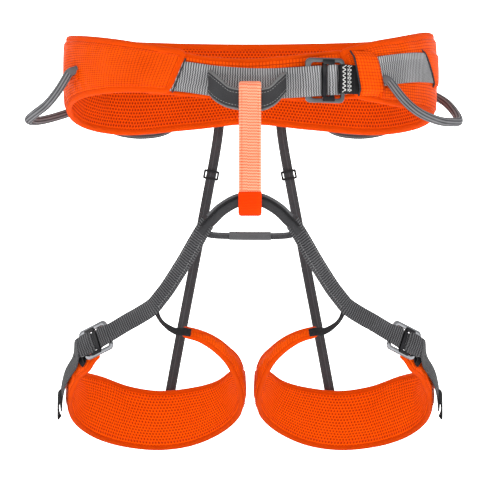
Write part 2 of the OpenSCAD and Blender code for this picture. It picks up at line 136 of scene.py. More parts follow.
class Shader:
    def __init__(self, name, colour, rough=0.8, metal=0.0, specular=0.04):
        self.material = bpy.data.materials.new(name)
        self.material.use_nodes = True
        self.tree = self.material.node_tree
        self.skin = self.tree.nodes["Principled BSDF"]
        self.colour = colour
        for key, value in (("Base Color", (*colour, 1)), ("Roughness", rough), ("Metallic", metal),
                           ("Specular IOR Level", specular)):
            self.skin.inputs[key].default_value = value

    def feed(self, slot, value):
        if isinstance(value, Wire):
            self.tree.links.new(value.socket, slot)
        elif hasattr(value, "__len__") and len(value) == 3 and len(slot.default_value) == 4:
            slot.default_value = (*value, 1)
        else:
            slot.default_value = value

    def node(self, kind, settings, inputs, output=0):
        made = self.tree.nodes.new(kind)
        for key, value in settings.items():
            setattr(made, key, value)
        for key, value in inputs.items():
            self.feed(made.inputs[key], value)
        return Wire(self, made.outputs[output])

    def uv(self):
        # the map holds millimetres: along the piece, then across it
        place = self.node("ShaderNodeUVMap", {"uv_map": "cloth"}, {})
        made = self.tree.nodes.new("ShaderNodeSeparateXYZ")
        self.feed(made.inputs[0], place)
        return Wire(self, made.outputs[0]), Wire(self, made.outputs[1])

    def noise(self, scale, detail=3.0, vector=None):
        where = vector or self.node("ShaderNodeTexCoord", {}, {}, "Object")
        return self.node("ShaderNodeTexNoise", {}, {"Vector": where, "Scale": scale, "Detail": detail})

    def blend(self, amount, first, second):
        made = self.tree.nodes.new("ShaderNodeMix")
        made.data_type = "RGBA"
        self.feed(made.inputs["Factor"], amount)
        self.feed(made.inputs[6], first)
        self.feed(made.inputs[7], second)
        return Wire(self, made.outputs[2])

    def paint(self, value):
        self.feed(self.skin.inputs["Base Color"], value)

    def roughen(self, value):
        self.feed(self.skin.inputs["Roughness"], value)

    def bump(self, height, distance, strength=1.0):
        normal = self.node("ShaderNodeBump", {}, {"Height": height, "Distance": distance, "Strength": strength})
        self.feed(self.skin.inputs["Normal"], normal)
        return self.material


def ripstop(name, colour, dark, cell=2.8):
    s = Shader(name, colour, rough=0.7)
    u, v = s.uv()
    thread = u.wave(0.45).most(v.wave(0.45))
    lines = (1 - u.repeat(cell).size().ramp(0.12, 0.32)).most(1 - v.repeat(cell).size().ramp(0.14, 0.4))
    worn = s.noise(28).ramp(0.35, 0.75)
    s.paint(s.blend(lines * 0.8 + worn * 0.2, colour, dark))
    s.roughen(worn * 0.2 + 0.5)
    creases = s.noise(17, 2) * 6
    return s.bump(thread * 0.25 + lines + s.noise(160) * 0.5 + creases, 0.0005, 0.8)


def spacerMesh(name, colour, dark, hole=(0.26, 0.014, 0.0002), pitch=3.0):
    s = Shader(name, colour, rough=0.85)
    u, v = s.uv()
    tall = pitch * 1.732
    near = (u.repeat(pitch) ** 2 + v.repeat(tall) ** 2) ** 0.5
    far = ((u + pitch / 2).repeat(pitch) ** 2 + (v + tall / 2).repeat(tall) ** 2) ** 0.5
    gap = 1 - near.least(far).ramp(pitch * 0.16, pitch * 0.4)
    knit = (u + v).wave(0.7) * (u - v).wave(0.7)
    s.paint(s.blend(gap, s.blend(knit * 0.5 + s.noise(40) * 0.3, colour, dark), hole))
    return s.bump(knit * 0.2 - gap, 0.0006, 0.7)


def webbing(name, light, dark, pitch=1.3, fuzz=0.25, lines=0.0):
    s = Shader(name, light, rough=0.75)
    u, v = s.uv()
    row = (v / 1.1).math("FLOOR").math("MODULO", 2) * 0.5
    rib = (u + row * pitch * 0.35 + s.noise(300) * 0.25).wave(pitch)
    fibre = v.wave(0.36)
    shade = rib * (1 - fuzz) + s.noise(420, 2) * fuzz
    if lines:
        shade = shade.most((v.size() - lines).size().ramp(0.7, 0.25))
    worn = s.noise(35).ramp(0.3, 0.8)
    s.paint(s.blend(shade * 0.85 + worn * 0.15, dark, light))
    s.roughen(worn * 0.15 + 0.65)
    return s.bump(rib + fibre * 0.3, 0.0004, 0.8)


def weave(name, colour, light, pitch=0.9):
    s = Shader(name, colour, rough=0.8)
    u, v = s.uv()
    over = (u + v).wave(pitch)
    under = (u - v).wave(pitch)
    cloth = over.most(under)
    s.paint(s.blend(cloth * 0.5 + s.noise(60) * 0.4, colour, light))
    return s.bump(cloth + s.noise(200) * 0.4, 0.0003, 0.7)


def metal(name, colour, rough, grain, tint):
    s = Shader(name, colour, rough=rough, metal=1.0, specular=0.5)
    place = s.node("ShaderNodeTexCoord", {}, {}, "Object")
    drawn = s.node("ShaderNodeMapping", {}, {"Vector": place, "Scale": (60, 60, 2200)})
    brushed = s.noise(1.0, 4, drawn)
    worn = s.noise(55).ramp(0.45, 0.75)
    s.paint(s.blend(worn * 0.6, colour, tint))
    s.roughen(brushed * grain + worn * 0.12 + rough)
    return s.bump(brushed, 0.00004, 0.4)


def plain(name, colour, rough, scale=300):
    s = Shader(name, colour, rough=rough)
    grain = s.noise(scale)
    s.paint(s.blend(grain * 0.5, colour, tuple(c * 0.6 for c in colour)))
    s.roughen(grain * 0.2 + rough)
    return s.bump(grain, 0.0001, 0.5)


look = {
    "ripstop": ripstop("orangeRipstop", (0.86, 0.082, 0.0003), (0.4, 0.024, 0.0002)),
    "mesh": spacerMesh("orangeMesh", (0.73, 0.062, 0.0003), (0.58, 0.042, 0.0002)),
    # the leg loops' ripstop and mesh, holes included, are brighter copies of the belt's: painted light that makes up
    # for the shade the leg loops sit in
    "legRipstopPaintedLight": ripstop("legRipstopPaintedLight", (0.97, 0.098, 0.0003), (0.52, 0.034, 0.0002)),
    "legMeshPaintedLight": spacerMesh("legMeshPaintedLight", (0.95, 0.092, 0.0003), (0.78, 0.064, 0.0002), hole=(0.42, 0.027, 0.0002)),
    "binding": webbing("edgeTape", (0.84, 0.078, 0.0003), (0.6, 0.044, 0.0003), pitch=0.8),
    "grey": webbing("greyWebbing", (0.44, 0.44, 0.45), (0.008, 0.008, 0.009), pitch=2.1, fuzz=0.1),
    "dark": webbing("darkWebbing", (0.13, 0.13, 0.135), (0.005, 0.005, 0.006), pitch=2.2, fuzz=0.15),
    "black": webbing("blackWebbing", (0.03, 0.03, 0.032), (0.008, 0.008, 0.009), pitch=1.4),
    "elastic": webbing("elasticWebbing", (0.09, 0.09, 0.095), (0.02, 0.02, 0.022), pitch=1.0, lines=2.6),
    "salmon": webbing("belayWebbing", (0.92, 0.44, 0.29), (0.86, 0.13, 0.045), pitch=2.3, fuzz=0.1),
    "sleeve": webbing("belaySleeve", (0.95, 0.05, 0.0005), (0.72, 0.03, 0.0004), pitch=1.1),
    "keeper": ripstop("keeperCloth", (0.88, 0.084, 0.0003), (0.5, 0.032, 0.0002)),
    "tieIn": weave("tieInFabric", (0.016, 0.016, 0.017), (0.06, 0.06, 0.063)),
    "smooth": weave("smoothWebbing", (0.05, 0.05, 0.053), (0.13, 0.13, 0.135), pitch=0.7),
    "piping": webbing("lightPiping", (0.27, 0.27, 0.27), (0.08, 0.08, 0.08), pitch=1.0),
    "alloy": metal("anodisedAlloy", (0.09, 0.094, 0.1), 0.3, 0.2, (0.16, 0.16, 0.17)),
    "blackAlloy": metal("blackAlloy", (0.02, 0.02, 0.022), 0.35, 0.15, (0.06, 0.06, 0.06)),
    "steel": metal("polishedSteel", (0.2, 0.205, 0.215), 0.06, 0.1, (0.42, 0.42, 0.44)),
    "plastic": plain("blackPlastic", (0.02, 0.02, 0.021), 0.4),
    "whiteThread": plain("whiteThread", (0.75, 0.75, 0.73), 0.6, 900),
    "orangeThread": plain("orangeThread", (0.75, 0.07, 0.01), 0.6, 900),
    "greyThread": plain("greyThread", (0.3, 0.3, 0.3), 0.6, 900),
}
print("stage: materials ready")


def ease(table, x):
    # smooth curve through a table of (position, value)
    keys = np.array([k for k, _ in table], float)
    values = np.array([v for _, v in table], float)
    slopes = np.gradient(values, keys)
    x = np.clip(np.asarray(x, float), keys[0], keys[-1])
    i = np.clip(np.searchsorted(keys, x, side="right") - 1, 0, len(keys) - 2)
    span = keys[i + 1] - keys[i]
    t = (x - keys[i]) / span
    return ((2 * t**3 - 3 * t**2 + 1) * values[i] + (t**3 - 2 * t**2 + t) * span * slopes[i]
            + (3 * t**2 - 2 * t**3) * values[i + 1] + (t**3 - t**2) * span * slopes[i + 1])


def lengths(path):
    return np.concatenate([[0], np.cumsum(np.linalg.norm(np.diff(path, axis=0), axis=1))])


def even(path, step):
    # the same path with its points a steady step apart
    run = lengths(path)
    marks = np.linspace(0, run[-1], max(int(round(run[-1] / step)), 3) + 1)
    return np.column_stack([np.interp(marks, run, path[:, k]) for k in range(path.shape[1])])


def through(points, step=1.5, parts=14):
    # smooth path through points given in millimetres, with any further columns carried along
    p = np.array(points, float)
    p = np.vstack([2 * p[0] - p[1], p, 2 * p[-1] - p[-2]])
    out = []
    for i in range(1, len(p) - 2):
        a, b, c, d = p[i - 1:i + 3]
        for k in range(parts):
            t = k / parts
            out.append(0.5 * (2 * b + (c - a) * t + (2 * a - 5 * b + 4 * c - d) * t * t
                              + (3 * b - a - 3 * c + d) * t**3))
    out.append(p[-2])
    return even(np.array(out), step)


def unit(v):
    return v / np.maximum(np.linalg.norm(v, axis=-1, keepdims=True), 1e-9)


def heading(path, closed=False):
    if closed:
        return unit(np.roll(path, -1, axis=0) - np.roll(path, 1, axis=0))
    return unit(np.gradient(path, axis=0))


def addMesh(name, points, faces, uvs=None, materials=(), which=None, flip=False):
    # points in millimetres; uvs holds one pair for each corner of each face
    points = np.array(points, float)
    if flip:
        points[:, 0] *= -1
        faces = [f[::-1] for f in faces]
        uvs = [u[::-1] for u in uvs] if uvs is not None else None
    mesh = bpy.data.meshes.new(name)
    mesh.from_pydata([tuple(p * mm) for p in points], [], [tuple(f) for f in faces])
    for material in materials:
        mesh.materials.append(material)
    if uvs is not None:
        layer = mesh.uv_layers.new(name="cloth")
        layer.data.foreach_set("uv", np.array([c for f in uvs for c in f], float).ravel())
    mesh.polygons.foreach_set("use_smooth", [True] * len(mesh.polygons))
    if which is not None:
        mesh.polygons.foreach_set("material_index", which)
    mesh.update()
    obj = bpy.data.objects.new(name, mesh)
    scene.collection.objects.link(obj)
    return obj


def gridMesh(name, rings, along, across, materials, closed=False, which=None, flip=False):
    # rings (n, m, 3) joined in order; along has n or n + 1 values, across m + 1
    n, m = rings.shape[:2]
    faces, uvs, kinds = [], [], []
    for i in range(n if closed else n - 1):
        k = (i + 1) % n
        for j in range(m):
            l = (j + 1) % m
            faces.append((i * m + j, i * m + l, k * m + l, k * m + j))
            uvs.append(((along[i], across[j]), (along[i], across[j + 1]),
                        (along[i + 1], across[j + 1]), (along[i + 1], across[j])))
            kinds.append(which[j] if which is not None else 0)
    if not closed:
        for i, order in ((0, range(m - 1, -1, -1)), (n - 1, range(m))):
            order = list(order)
            faces.append([i * m + j for j in order])
            uvs.append([(along[i], across[j]) for j in order])
            kinds.append(0)
    return addMesh(name, rings.reshape(-1, 3), faces, uvs, materials, kinds, flip)


def sweep(name, path, faceWay, width, thick, material, closed=False, flip=False, flat=4, edgeParts=5):
    # webbing or tape along a path; faceWay is the way its outer face looks
    path = np.array(path, float)
    ahead = heading(path, closed)
    faceWay = np.broadcast_to(np.array(faceWay, float), path.shape)
    side = unit(np.cross(ahead, faceWay))
    out = np.cross(side, ahead)
    width = np.broadcast_to(np.array(width, float), len(path))[:, None]
    thick = np.broadcast_to(np.array(thick, float), len(path))[:, None]
    shape = []
    for k in range(edgeParts):
        a = math.radians(-90 + 180 * k / (edgeParts - 1))
        shape.append((1, math.cos(a), math.sin(a)))
    shape += [(1 - 2 * (k + 1) / (flat + 1), 0, 1) for k in range(flat)]
    for k in range(edgeParts):
        a = math.radians(90 + 180 * k / (edgeParts - 1))
        shape.append((-1, math.cos(a), math.sin(a)))
    shape += [(-1 + 2 * (k + 1) / (flat + 1), 0, -1) for k in range(flat)]
    rings = np.stack([path + side * (c * (width - thick) / 2 + r * thick / 2) + out * (h * thick / 2)
                      for c, r, h in shape], axis=1)
    w = float(width.mean())
    across = [c * w / 2 for c, _, _ in shape] + [shape[0][0] * w / 2]
    run = lengths(np.vstack([path, path[:1]]) if closed else path)
    return gridMesh(name, rings[:, ::-1], run, across[::-1], [material], closed, None, flip)


def cord(name, path, steady, r0, r1, material, m=16, closed=False, flip=False, ends=True):
    # a round or oval tube, closed at its ends by two shrinking rings
    path = np.array(path, float)
    ahead = heading(path, closed)
    side = unit(np.array(steady, float) - ahead * (ahead @ np.array(steady, float))[:, None])
    other = np.cross(side, ahead)
    r0 = np.broadcast_to(np.array(r0, float), len(path))[:, None]
    r1 = np.broadcast_to(np.array(r1, float), len(path))[:, None]
    rings = np.stack([path + side * r0 * math.cos(2 * math.pi * j / m)
                      - other * r1 * math.sin(2 * math.pi * j / m) for j in range(m)], axis=1)
    run = lengths(np.vstack([path, path[:1]]) if closed else path)
    if ends and not closed:
        first, last = path[0], path[-1]
        low = [first + (rings[0] - first) * k - ahead[0] * d * r1[0] for k, d in ((0.55, 0.5), (0.9, 0.2))]
        high = [last + (rings[-1] - last) * k + ahead[-1] * d * r1[-1] for k, d in ((0.9, 0.2), (0.55, 0.5))]
        rings = np.concatenate([low, rings, high])
        run = np.concatenate([[run[0] - 1, run[0] - 0.5], run, [run[-1] + 0.5, run[-1] + 1]])
    across = [math.pi * 2 * float(r1.mean()) * j / m for j in range(m + 1)]
    return gridMesh(name, rings, run, across, [material], closed, None, flip)


def place(obj, body, slot, *nodes):
    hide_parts(*nodes)
    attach(obj, body)
    return obj


def extra(obj, body="belt"):
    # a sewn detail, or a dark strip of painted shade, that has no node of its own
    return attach(obj, body)


def solid(obj, levels=0, bevel=0.0):
    # turns modifiers into plain mesh
    if bevel:
        m = obj.modifiers.new("bevel", "BEVEL")
        m.width = bevel * mm
        m.segments = 3
        m.limit_method = "ANGLE"
        m.angle_limit = math.radians(40)
    if levels:
        m = obj.modifiers.new("finer", "SUBSURF")
        m.levels = levels
        m.render_levels = levels
    ready = obj.evaluated_get(bpy.context.evaluated_depsgraph_get())
    mesh = bpy.data.meshes.new_from_object(ready)
    obj.modifiers.clear()
    obj.data = mesh
    return obj


def startTree(name, numbers):
    # every rule here takes a line, some numbers and a material, and gives a mesh
    tree = bpy.data.node_groups.new(name, "GeometryNodeTree")
    face = tree.interface
    face.new_socket("Line", in_out="INPUT", socket_type="NodeSocketGeometry")
    for key, value in numbers.items():
        face.new_socket(key, in_out="INPUT", socket_type="NodeSocketFloat").default_value = value
    face.new_socket("Material", in_out="INPUT", socket_type="NodeSocketMaterial")
    face.new_socket("Mesh", in_out="OUTPUT", socket_type="NodeSocketGeometry")
    return tree, tree.nodes.new, tree.links.new


def endTree(new, link, shape, given, result):
    real, paint = new("GeometryNodeRealizeInstances"), new("GeometryNodeSetMaterial")
    link(shape, real.inputs["Geometry"])
    link(real.outputs["Geometry"], paint.inputs["Geometry"])
    link(given.outputs["Material"], paint.inputs["Material"])
    link(paint.outputs["Geometry"], result.inputs["Mesh"])


def stitchNodes():
    # short rounded threads laid along the line
    tree, new, link = startTree("stitchRow", {"Spacing": 0.003, "Length": 0.002, "Thickness": 0.0004})
    given, result = new("NodeGroupInput"), new("NodeGroupOutput")
    toCurve, spread = new("GeometryNodeMeshToCurve"), new("GeometryNodeResampleCurve")
    spread.mode = "LENGTH"
    link(given.outputs["Line"], toCurve.inputs["Mesh"])
    link(toCurve.outputs["Curve"], spread.inputs["Curve"])
    link(given.outputs["Spacing"], spread.inputs["Length"])
    bead = new("GeometryNodeMeshUVSphere")
    bead.inputs["Segments"].default_value = 6
    bead.inputs["Rings"].default_value = 4
    bead.inputs["Radius"].default_value = 0.5
    size = new("ShaderNodeCombineXYZ")
    link(given.outputs["Thickness"], size.inputs["X"])
    link(given.outputs["Thickness"], size.inputs["Y"])
    link(given.outputs["Length"], size.inputs["Z"])
    run = new("GeometryNodeInputTangent")
    align = new("FunctionNodeAlignRotationToVector")
    align.axis = "Z"
    link(run.outputs[0], align.inputs["Vector"])
    wobble = new("FunctionNodeRandomValue")
    wobble.data_type = "FLOAT"
    wobble.inputs["Min"].default_value = 0.88
    wobble.inputs["Max"].default_value = 1.1
    wobble.inputs["Seed"].default_value = 11
    sized = new("ShaderNodeVectorMath")
    sized.operation = "SCALE"
    link(size.outputs[0], sized.inputs[0])
    link(wobble.outputs["Value"], sized.inputs["Scale"])
    rows = new("GeometryNodeInstanceOnPoints")
    link(spread.outputs["Curve"], rows.inputs["Points"])
    link(bead.outputs["Mesh"], rows.inputs["Instance"])
    link(align.outputs["Rotation"], rows.inputs["Rotation"])
    link(sized.outputs[0], rows.inputs["Scale"])
    endTree(new, link, rows.outputs["Instances"], given, result)
    return tree


stitchTree = stitchNodes()


def useNodes(obj, tree, values):
    made = obj.modifiers.new("rule", "NODES")
    made.node_group = tree
    for item in tree.interface.items_tree:
        if item.in_out == "INPUT" and item.name in values:
            made[item.identifier] = values[item.name]
    return solid(obj)


def stitches(name, lines, body, thread="orangeThread", spacing=3.4, length=2.5, thick=0.55,
             onto=None, lift=0.15, flip=False):
    # lines is a list of paths in millimetres; with onto they are laid on that mesh
    points, edges = [], []
    tree = None
    if onto is not None:
        mesh = onto.data
        tree = BVHTree.FromPolygons([v.co.copy() for v in mesh.vertices], [tuple(p.vertices) for p in mesh.polygons])
    for path in lines:
        path = np.array(path, float)
        if flip:
            path = path * [-1, 1, 1]
        base = len(points)
        for p in path:
            if tree:
                spot, normal, _, _ = tree.find_nearest(Vector(p * mm))
                p = np.array(spot + normal * lift * mm) / mm
            points.append(p)
        edges += [(base + i, base + i + 1) for i in range(len(path) - 1)]
    mesh = bpy.data.meshes.new(name)
    mesh.from_pydata([tuple(p * mm) for p in points], edges, [])
    obj = bpy.data.objects.new(name, mesh)
    scene.collection.objects.link(obj)
    useNodes(obj, stitchTree, {"Spacing": spacing * mm, "Length": length * mm, "Thickness": thick * mm,
                               "Material": look[thread]})
    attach(obj, body)
    return obj


def zigzag(a, b, up, half, turns):
    # a tight zigzag from a to b, up is the way it swings
    a, b, up = np.array(a, float), np.array(b, float), np.array(up, float)
    return np.array([a + (b - a) * i / turns + up * (half if i % 2 else -half) for i in range(turns + 1)])


def puff(obj, pinned, spec):
    # blows the cover up a little as cloth, so it creases and bulges between its sewn edges
    start = np.array([v.co[:] for v in obj.data.vertices])
    group = obj.vertex_groups.new(name="sewn")
    group.add([int(i) for i in pinned], 1.0, "REPLACE")
    made = obj.modifiers.new("cloth", "CLOTH")
    cloth = made.settings
    cloth.quality = 5
    cloth.mass = 0.2
    cloth.tension_stiffness = spec["stiff"]
    cloth.compression_stiffness = spec["stiff"]
    cloth.bending_stiffness = spec["bend"]
    cloth.use_pressure = True
    cloth.uniform_pressure_force = spec["pressure"]
    cloth.shrink_min = -spec["slack"]
    cloth.vertex_group_mass = "sewn"
    cloth.effector_weights.gravity = 0
    made.collision_settings.use_collision = False
    for f in range(1, spec["frames"] + 1):
        scene.frame_set(f)
    ready = obj.evaluated_get(bpy.context.evaluated_depsgraph_get())
    end = np.array([v.co[:] for v in ready.data.vertices])
    obj.modifiers.clear()
    obj.vertex_groups.clear()
    scene.frame_set(1)
    move = end - start
    far = np.linalg.norm(move, axis=1, keepdims=True)
    cap = spec["cap"] * mm
    move *= cap * np.tanh(far / cap) / np.maximum(far, 1e-9)
    obj.data.vertices.foreach_set("co", (start + move).ravel())
    obj.data.update()


class Panel:
    # a padded band that follows an oval, with its two edges given by tables
    def __init__(self, centre, half, tops, lows, first, last):
        self.centre, self.half, self.tops, self.lows = centre, half, tops, lows
        self.first, self.last = first, last  # angle of the lower and upper corner at each end

    def point(self, s, z, off):
        a = np.radians(s)
        return np.stack([self.centre[0] + (self.half[0] + off) * np.sin(a),
                         self.centre[1] - (self.half[1] + off) * np.cos(a), z + 0 * a], axis=-1)

    def out(self, s):
        a = np.radians(s)
        return unit(np.stack([self.half[1] * np.sin(a), -self.half[0] * np.cos(a), 0 * a], axis=-1))

    def spot(self, u, v, off):
        # u runs from one end to the other, v from the lower edge to the upper
        u, v, off = np.broadcast_arrays(np.asarray(u, float), np.asarray(v, float), np.asarray(off, float))
        s0 = self.first[0] + (self.first[1] - self.first[0]) * v
        s1 = self.last[0] + (self.last[1] - self.last[0]) * v
        s = s0 + (s1 - s0) * u
        z = ease(self.lows, s) * (1 - v) + ease(self.tops, s) * v
        return self.point(s, z, off), self.out(s)

    def pad(self, name, inner, outer, columns, rows, materials, flip=False, edge=1.7, mid=-0.6):
        u = np.linspace(0, 1, columns + 1)
        v = np.linspace(0, 1, rows + 1)
        swell = np.clip(1 - np.abs(2 * v - 1) ** 5, 0, 1) ** 0.5
        endSwell = np.clip(1 - np.abs(2 * u - 1) ** (columns * 0.9), 0, 1) ** 0.5
        ring = []
        for j in range(rows + 1):
            off = mid + edge + (outer - mid - edge) * swell[j] * endSwell
            ring.append(self.spot(u, v[j], off)[0])
        for j in range(rows, -1, -1):
            off = mid - edge + (inner - mid + edge) * swell[j] * endSwell
            ring.append(self.spot(u, v[j], off)[0])
        rings = np.stack(ring, axis=1)
        middle = self.spot(u, 0.5, 0.0)[0]
        run = lengths(middle)
        turned = rings[columns // 2][:, :]
        across = list(lengths(np.vstack([turned, turned[:1]])))
        which = [0] * rows + [0] + [1] * rows + [0]
        obj = gridMesh(name, rings[:, ::-1], run, across[::-1], materials, False, which[:-1][::-1] + [which[-1]], flip)
        m = 2 * (rows + 1)
        back = [m - 1 - j for j in (0, rows, rows + 1, 2 * rows + 1)]
        pinned = {i * m + j for i in range(columns + 1) for j in back}
        pinned |= {i * m + j for i in (0, columns) for j in range(m)}
        return obj, sorted(pinned)

    def rim(self, inset=0.0, step=3.0):
        # the panel's outline, once around, at the middle of its thickness
        u = np.linspace(0, 1, 160)
        v = np.linspace(0, 1, 12)
        low, high = inset, 1 - inset
        parts = [self.spot(u, low, -0.6), self.spot(1.0, v * (high - low) + low, -0.6),
                 self.spot(u[::-1], high, -0.6), self.spot(0.0, (v * (high - low) + low)[::-1], -0.6)]
        path = np.vstack([p[:-1] for p, _ in parts])
        out = np.vstack([o[:-1] for _, o in parts])
        both = even(np.hstack([path, out]), step)[:-1]
        for _ in range(2):
            both[:, :3] = (np.roll(both[:, :3], 1, 0) + 2 * both[:, :3] + np.roll(both[:, :3], -1, 0)) / 4
        return both[:, :3], unit(both[:, 3:])


beltHalf = (158, 110)  # half width and half depth, which everything on the belt is measured from
beltSpec = {"columns": 150, "rows": 15, "binding": 6.4, "bindingThick": 5.0,
            "cloth": {"pressure": 4.0, "slack": 0.035, "stiff": 12, "bend": 0.25, "cap": 1.9, "frames": 20}}
beltTop = [(28, 20), (40, 28), (51, 33), (70, 40), (90, 42), (133, 42.5), (160, 43), (180, 43), (200, 43),
           (227, 42.5), (250, 41), (270, 40), (292, 37), (314, 31), (328, 25), (341, 19)]
beltLow = [(28, -16), (40, -20), (51, -23), (70, -26), (90, -30), (112, -38), (133, -41), (160, -35),
           (180, -29.5), (200, -35), (227, -41), (248, -37), (270, -25), (292, -15.5), (314, -12), (341, -15)]
beltTop = [(a, z - 2.4) for a, z in beltTop]
beltLow = [(a, z + (2.8 if 100 < a < 260 else 1.6)) for a, z in beltLow]
belt = Panel((0, 0), beltHalf, beltTop, beltLow, (34, 28.7), (335, 340))
beltPad, beltSewn = belt.pad("beltPad", -5.0, 2.8, beltSpec["columns"], beltSpec["rows"],
                             [look["ripstop"], look["mesh"]])
puff(beltPad, beltSewn, beltSpec["cloth"])
solid(beltPad, 1)
place(beltPad, "belt", "orange_ripstop", "belt_shell", "belt_foam", "belt_load_webbing", "belt_mesh_liner")
edgePath, edgeOut = belt.rim()
beltBinding = sweep("beltBinding", edgePath, edgeOut, beltSpec["binding"], beltSpec["bindingThick"],
                    look["binding"], closed=True)
place(beltBinding, "belt", "edge_binding", "belt_binding")


def innerRows(panel, insets, offs, uRange=(0.004, 0.996)):
    # stitch lines set in from the panel's edges
    u = np.linspace(*uRange, 260)
    return [panel.spot(u, inset, off)[0] for inset, off in zip(insets, offs)]


stitches("beltEdgeStitches", innerRows(belt, (0.07, 0.93, 0.07, 0.93), (4, 4, -7, -7)), "belt",
         onto=beltPad, spacing=3.2)
print("stage: belt pad ready")

# tongue behind the buckle
tongueTop = [(-34, 17), (-24, 17.5), (-14, 13), (0, 10.7), (17, 15), (28, 18.5), (37, 19)]
tongueLow = [(-34, -13), (-24, -15), (-14, -17.5), (0, -19.5), (17, -19.5), (37, -17)]
tongue = Panel((0, 0), beltHalf, tongueTop, tongueLow, (-33, -33), (36.5, 36.5))
tongueSpec = {"columns": 44, "rows": 9, "inner": -4.6, "outer": -1.2, "edge": 0.9, "mid": -2.6, "binding": 4.0,
              "bindingThick": 3.4, "cloth": dict(beltSpec["cloth"], cap=1.0)}
tonguePad, tongueSewn = tongue.pad("tonguePad", tongueSpec["inner"], tongueSpec["outer"], tongueSpec["columns"],
                                   tongueSpec["rows"], [look["ripstop"], look["mesh"]],
                                   edge=tongueSpec["edge"], mid=tongueSpec["mid"])
puff(tonguePad, tongueSewn, tongueSpec["cloth"])
solid(tonguePad, 1)
place(tonguePad, "belt", "orange_ripstop", "tongue_pad")
for key, v in (("tongueUpperBinding", 1.0), ("tongueLowerBinding", 0.0)):
    p, o = tongue.spot(np.linspace(0, 1, 70), v, tongueSpec["mid"])
    extra(sweep(key, p, o, tongueSpec["binding"], tongueSpec["bindingThick"], look["binding"]))

# waist strap: the table gives its height around the belt
webMid = [(-34, -1), (-22, -1.5), (-10, -6), (0, -8), (12, -7.5), (22, -5.3), (31, -3), (40, 3), (50, 7), (86, 11)]
strapSpec = {"width": 25, "thick": 1.3, "anchorWidth": 24, "anchorThick": 0.9, "buckleAngle": 22.4,
             "buckleHeight": -5.3}
atBuckle = math.radians(strapSpec["buckleAngle"])
turn = math.atan2(beltHalf[1] * math.sin(atBuckle), beltHalf[0] * math.cos(atBuckle))


def beltAt(s, off):
    a = math.radians(s)
    return [(beltHalf[0] + off) * math.sin(a), -(beltHalf[1] + off) * math.cos(a)]


def beltAngle(p):
    return math.degrees(math.atan2(p[0] / beltHalf[0], -p[1] / beltHalf[1]))


buckleCentre = np.array(beltAt(strapSpec["buckleAngle"], 0))


def buckleSpot(u, v):
    return [buckleCentre[0] + u * math.cos(turn) + v * math.sin(turn),
            buckleCentre[1] + u * math.sin(turn) - v * math.cos(turn)]


def standing(points, table):
    # gives each point in plan its height from a table over the belt's angle
    return [[p[0], p[1], float(ease(table, beltAngle(p)))] for p in points]


def planOut(path):
    way = heading(path)
    return unit(np.column_stack([way[:, 1], -way[:, 0], 0 * way[:, 0]]))


threading = [(-24, 3.6), (-19, 6.6), (-12, 7.3), (-6.5, 7.1), (-4.6, 6.2), (-3.7, 4.6), (-3.2, 3), (-2.3, 1.7),
             (-0.4, 1.2), (1.4, 1.5), (2.4, 2.8), (2.9, 5.4), (3.4, 6.8), (4.4, 7.5), (6.2, 7.7), (8, 7.4),
             (9.3, 6.4), (9.9, 5), (10.4, 3.2), (11.2, 1.6), (13, 0.6), (17, -0.1), (21, -0.8)]
plan = [beltAt(s, 0.7) for s in range(-34, 9, 3)] + [buckleSpot(*q) for q in threading]
plan += [beltAt(s, off) for s, off in ((32.5, 0.3), (34.5, 0.4), (36.3, 1.4), (37.6, 3), (38.9, 4.6), (40.2, 5.4))]
plan += [beltAt(s, 5.4) for s in range(43, 86, 3)]
strapPath = through(standing(plan, webMid), 0.9)
strapOut = planOut(strapPath)
under = int(np.argmin(np.linalg.norm(strapPath[:, :2] - np.array(buckleSpot(-0.4, 1.2)), axis=1)))
strapParts = (("waistStrapIn", slice(None, under + 1)), ("waistStrapTail", slice(under, None)))
strapIn, strapTail = [sweep(name, strapPath[part], strapOut[part], strapSpec["width"], strapSpec["thick"],
                            look["grey"]) for name, part in strapParts]
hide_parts("waist_strap")
for piece, far, near in ((strapIn, -22, -4.6), (strapTail, 17, 8.5)):
    [c * mm for c in (*buckleSpot(far, 5), strapSpec["buckleHeight"])]
    [c * mm for c in (*buckleSpot(near, 5), strapSpec["buckleHeight"])]
    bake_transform(piece)

anchorPlan = [beltAt(36.5, 2.6), beltAt(34, 2.6), beltAt(31.5, 2.8)]
anchorPlan += [buckleSpot(*q) for q in ((20.5, 4.4), (18, 6.9), (15.5, 7.4), (13.7, 6.7), (13, 5), (13.2, 3.4),
                                        (14.6, 2.7), (17.5, 2.1))]
anchorPlan += [beltAt(31, 1.45), beltAt(33, 1.45), beltAt(35.4, 1.45)]
anchorPath = through([[*p, -3.8] for p in anchorPlan], 0.8)
buckleAnchor = sweep("buckleAnchor", anchorPath, planOut(anchorPath), strapSpec["anchorWidth"],
                     strapSpec["anchorThick"], look["black"])
place(buckleAnchor, "belt", "dark_webbing", "buckle_anchor_webbing")
tacks = []
for u, v in ((15.9, 7.95), (19.2, 6.3), (22, 4.2)):
    x, y = buckleSpot(u, v)
    tacks.append(zigzag((x, y, -14.5), (x, y, 7), (math.cos(turn), math.sin(turn), 0), 1.3, 13))
stitches("anchorBartacks", tacks, "belt", "whiteThread", spacing=1.0, length=1.6, thick=0.6)


def roundedLoop(halfX, halfZ, r, parts=6):
    out = []
    for cx, cz, start in ((1, 1, 0), (-1, 1, 90), (-1, -1, 180), (1, -1, 270)):
        for k in range(parts + 1):
            a = math.radians(start + 90 * k / parts)
            out.append((cx * (halfX - r) + r * math.cos(a), cz * (halfZ - r) + r * math.sin(a)))
    return np.array(out)


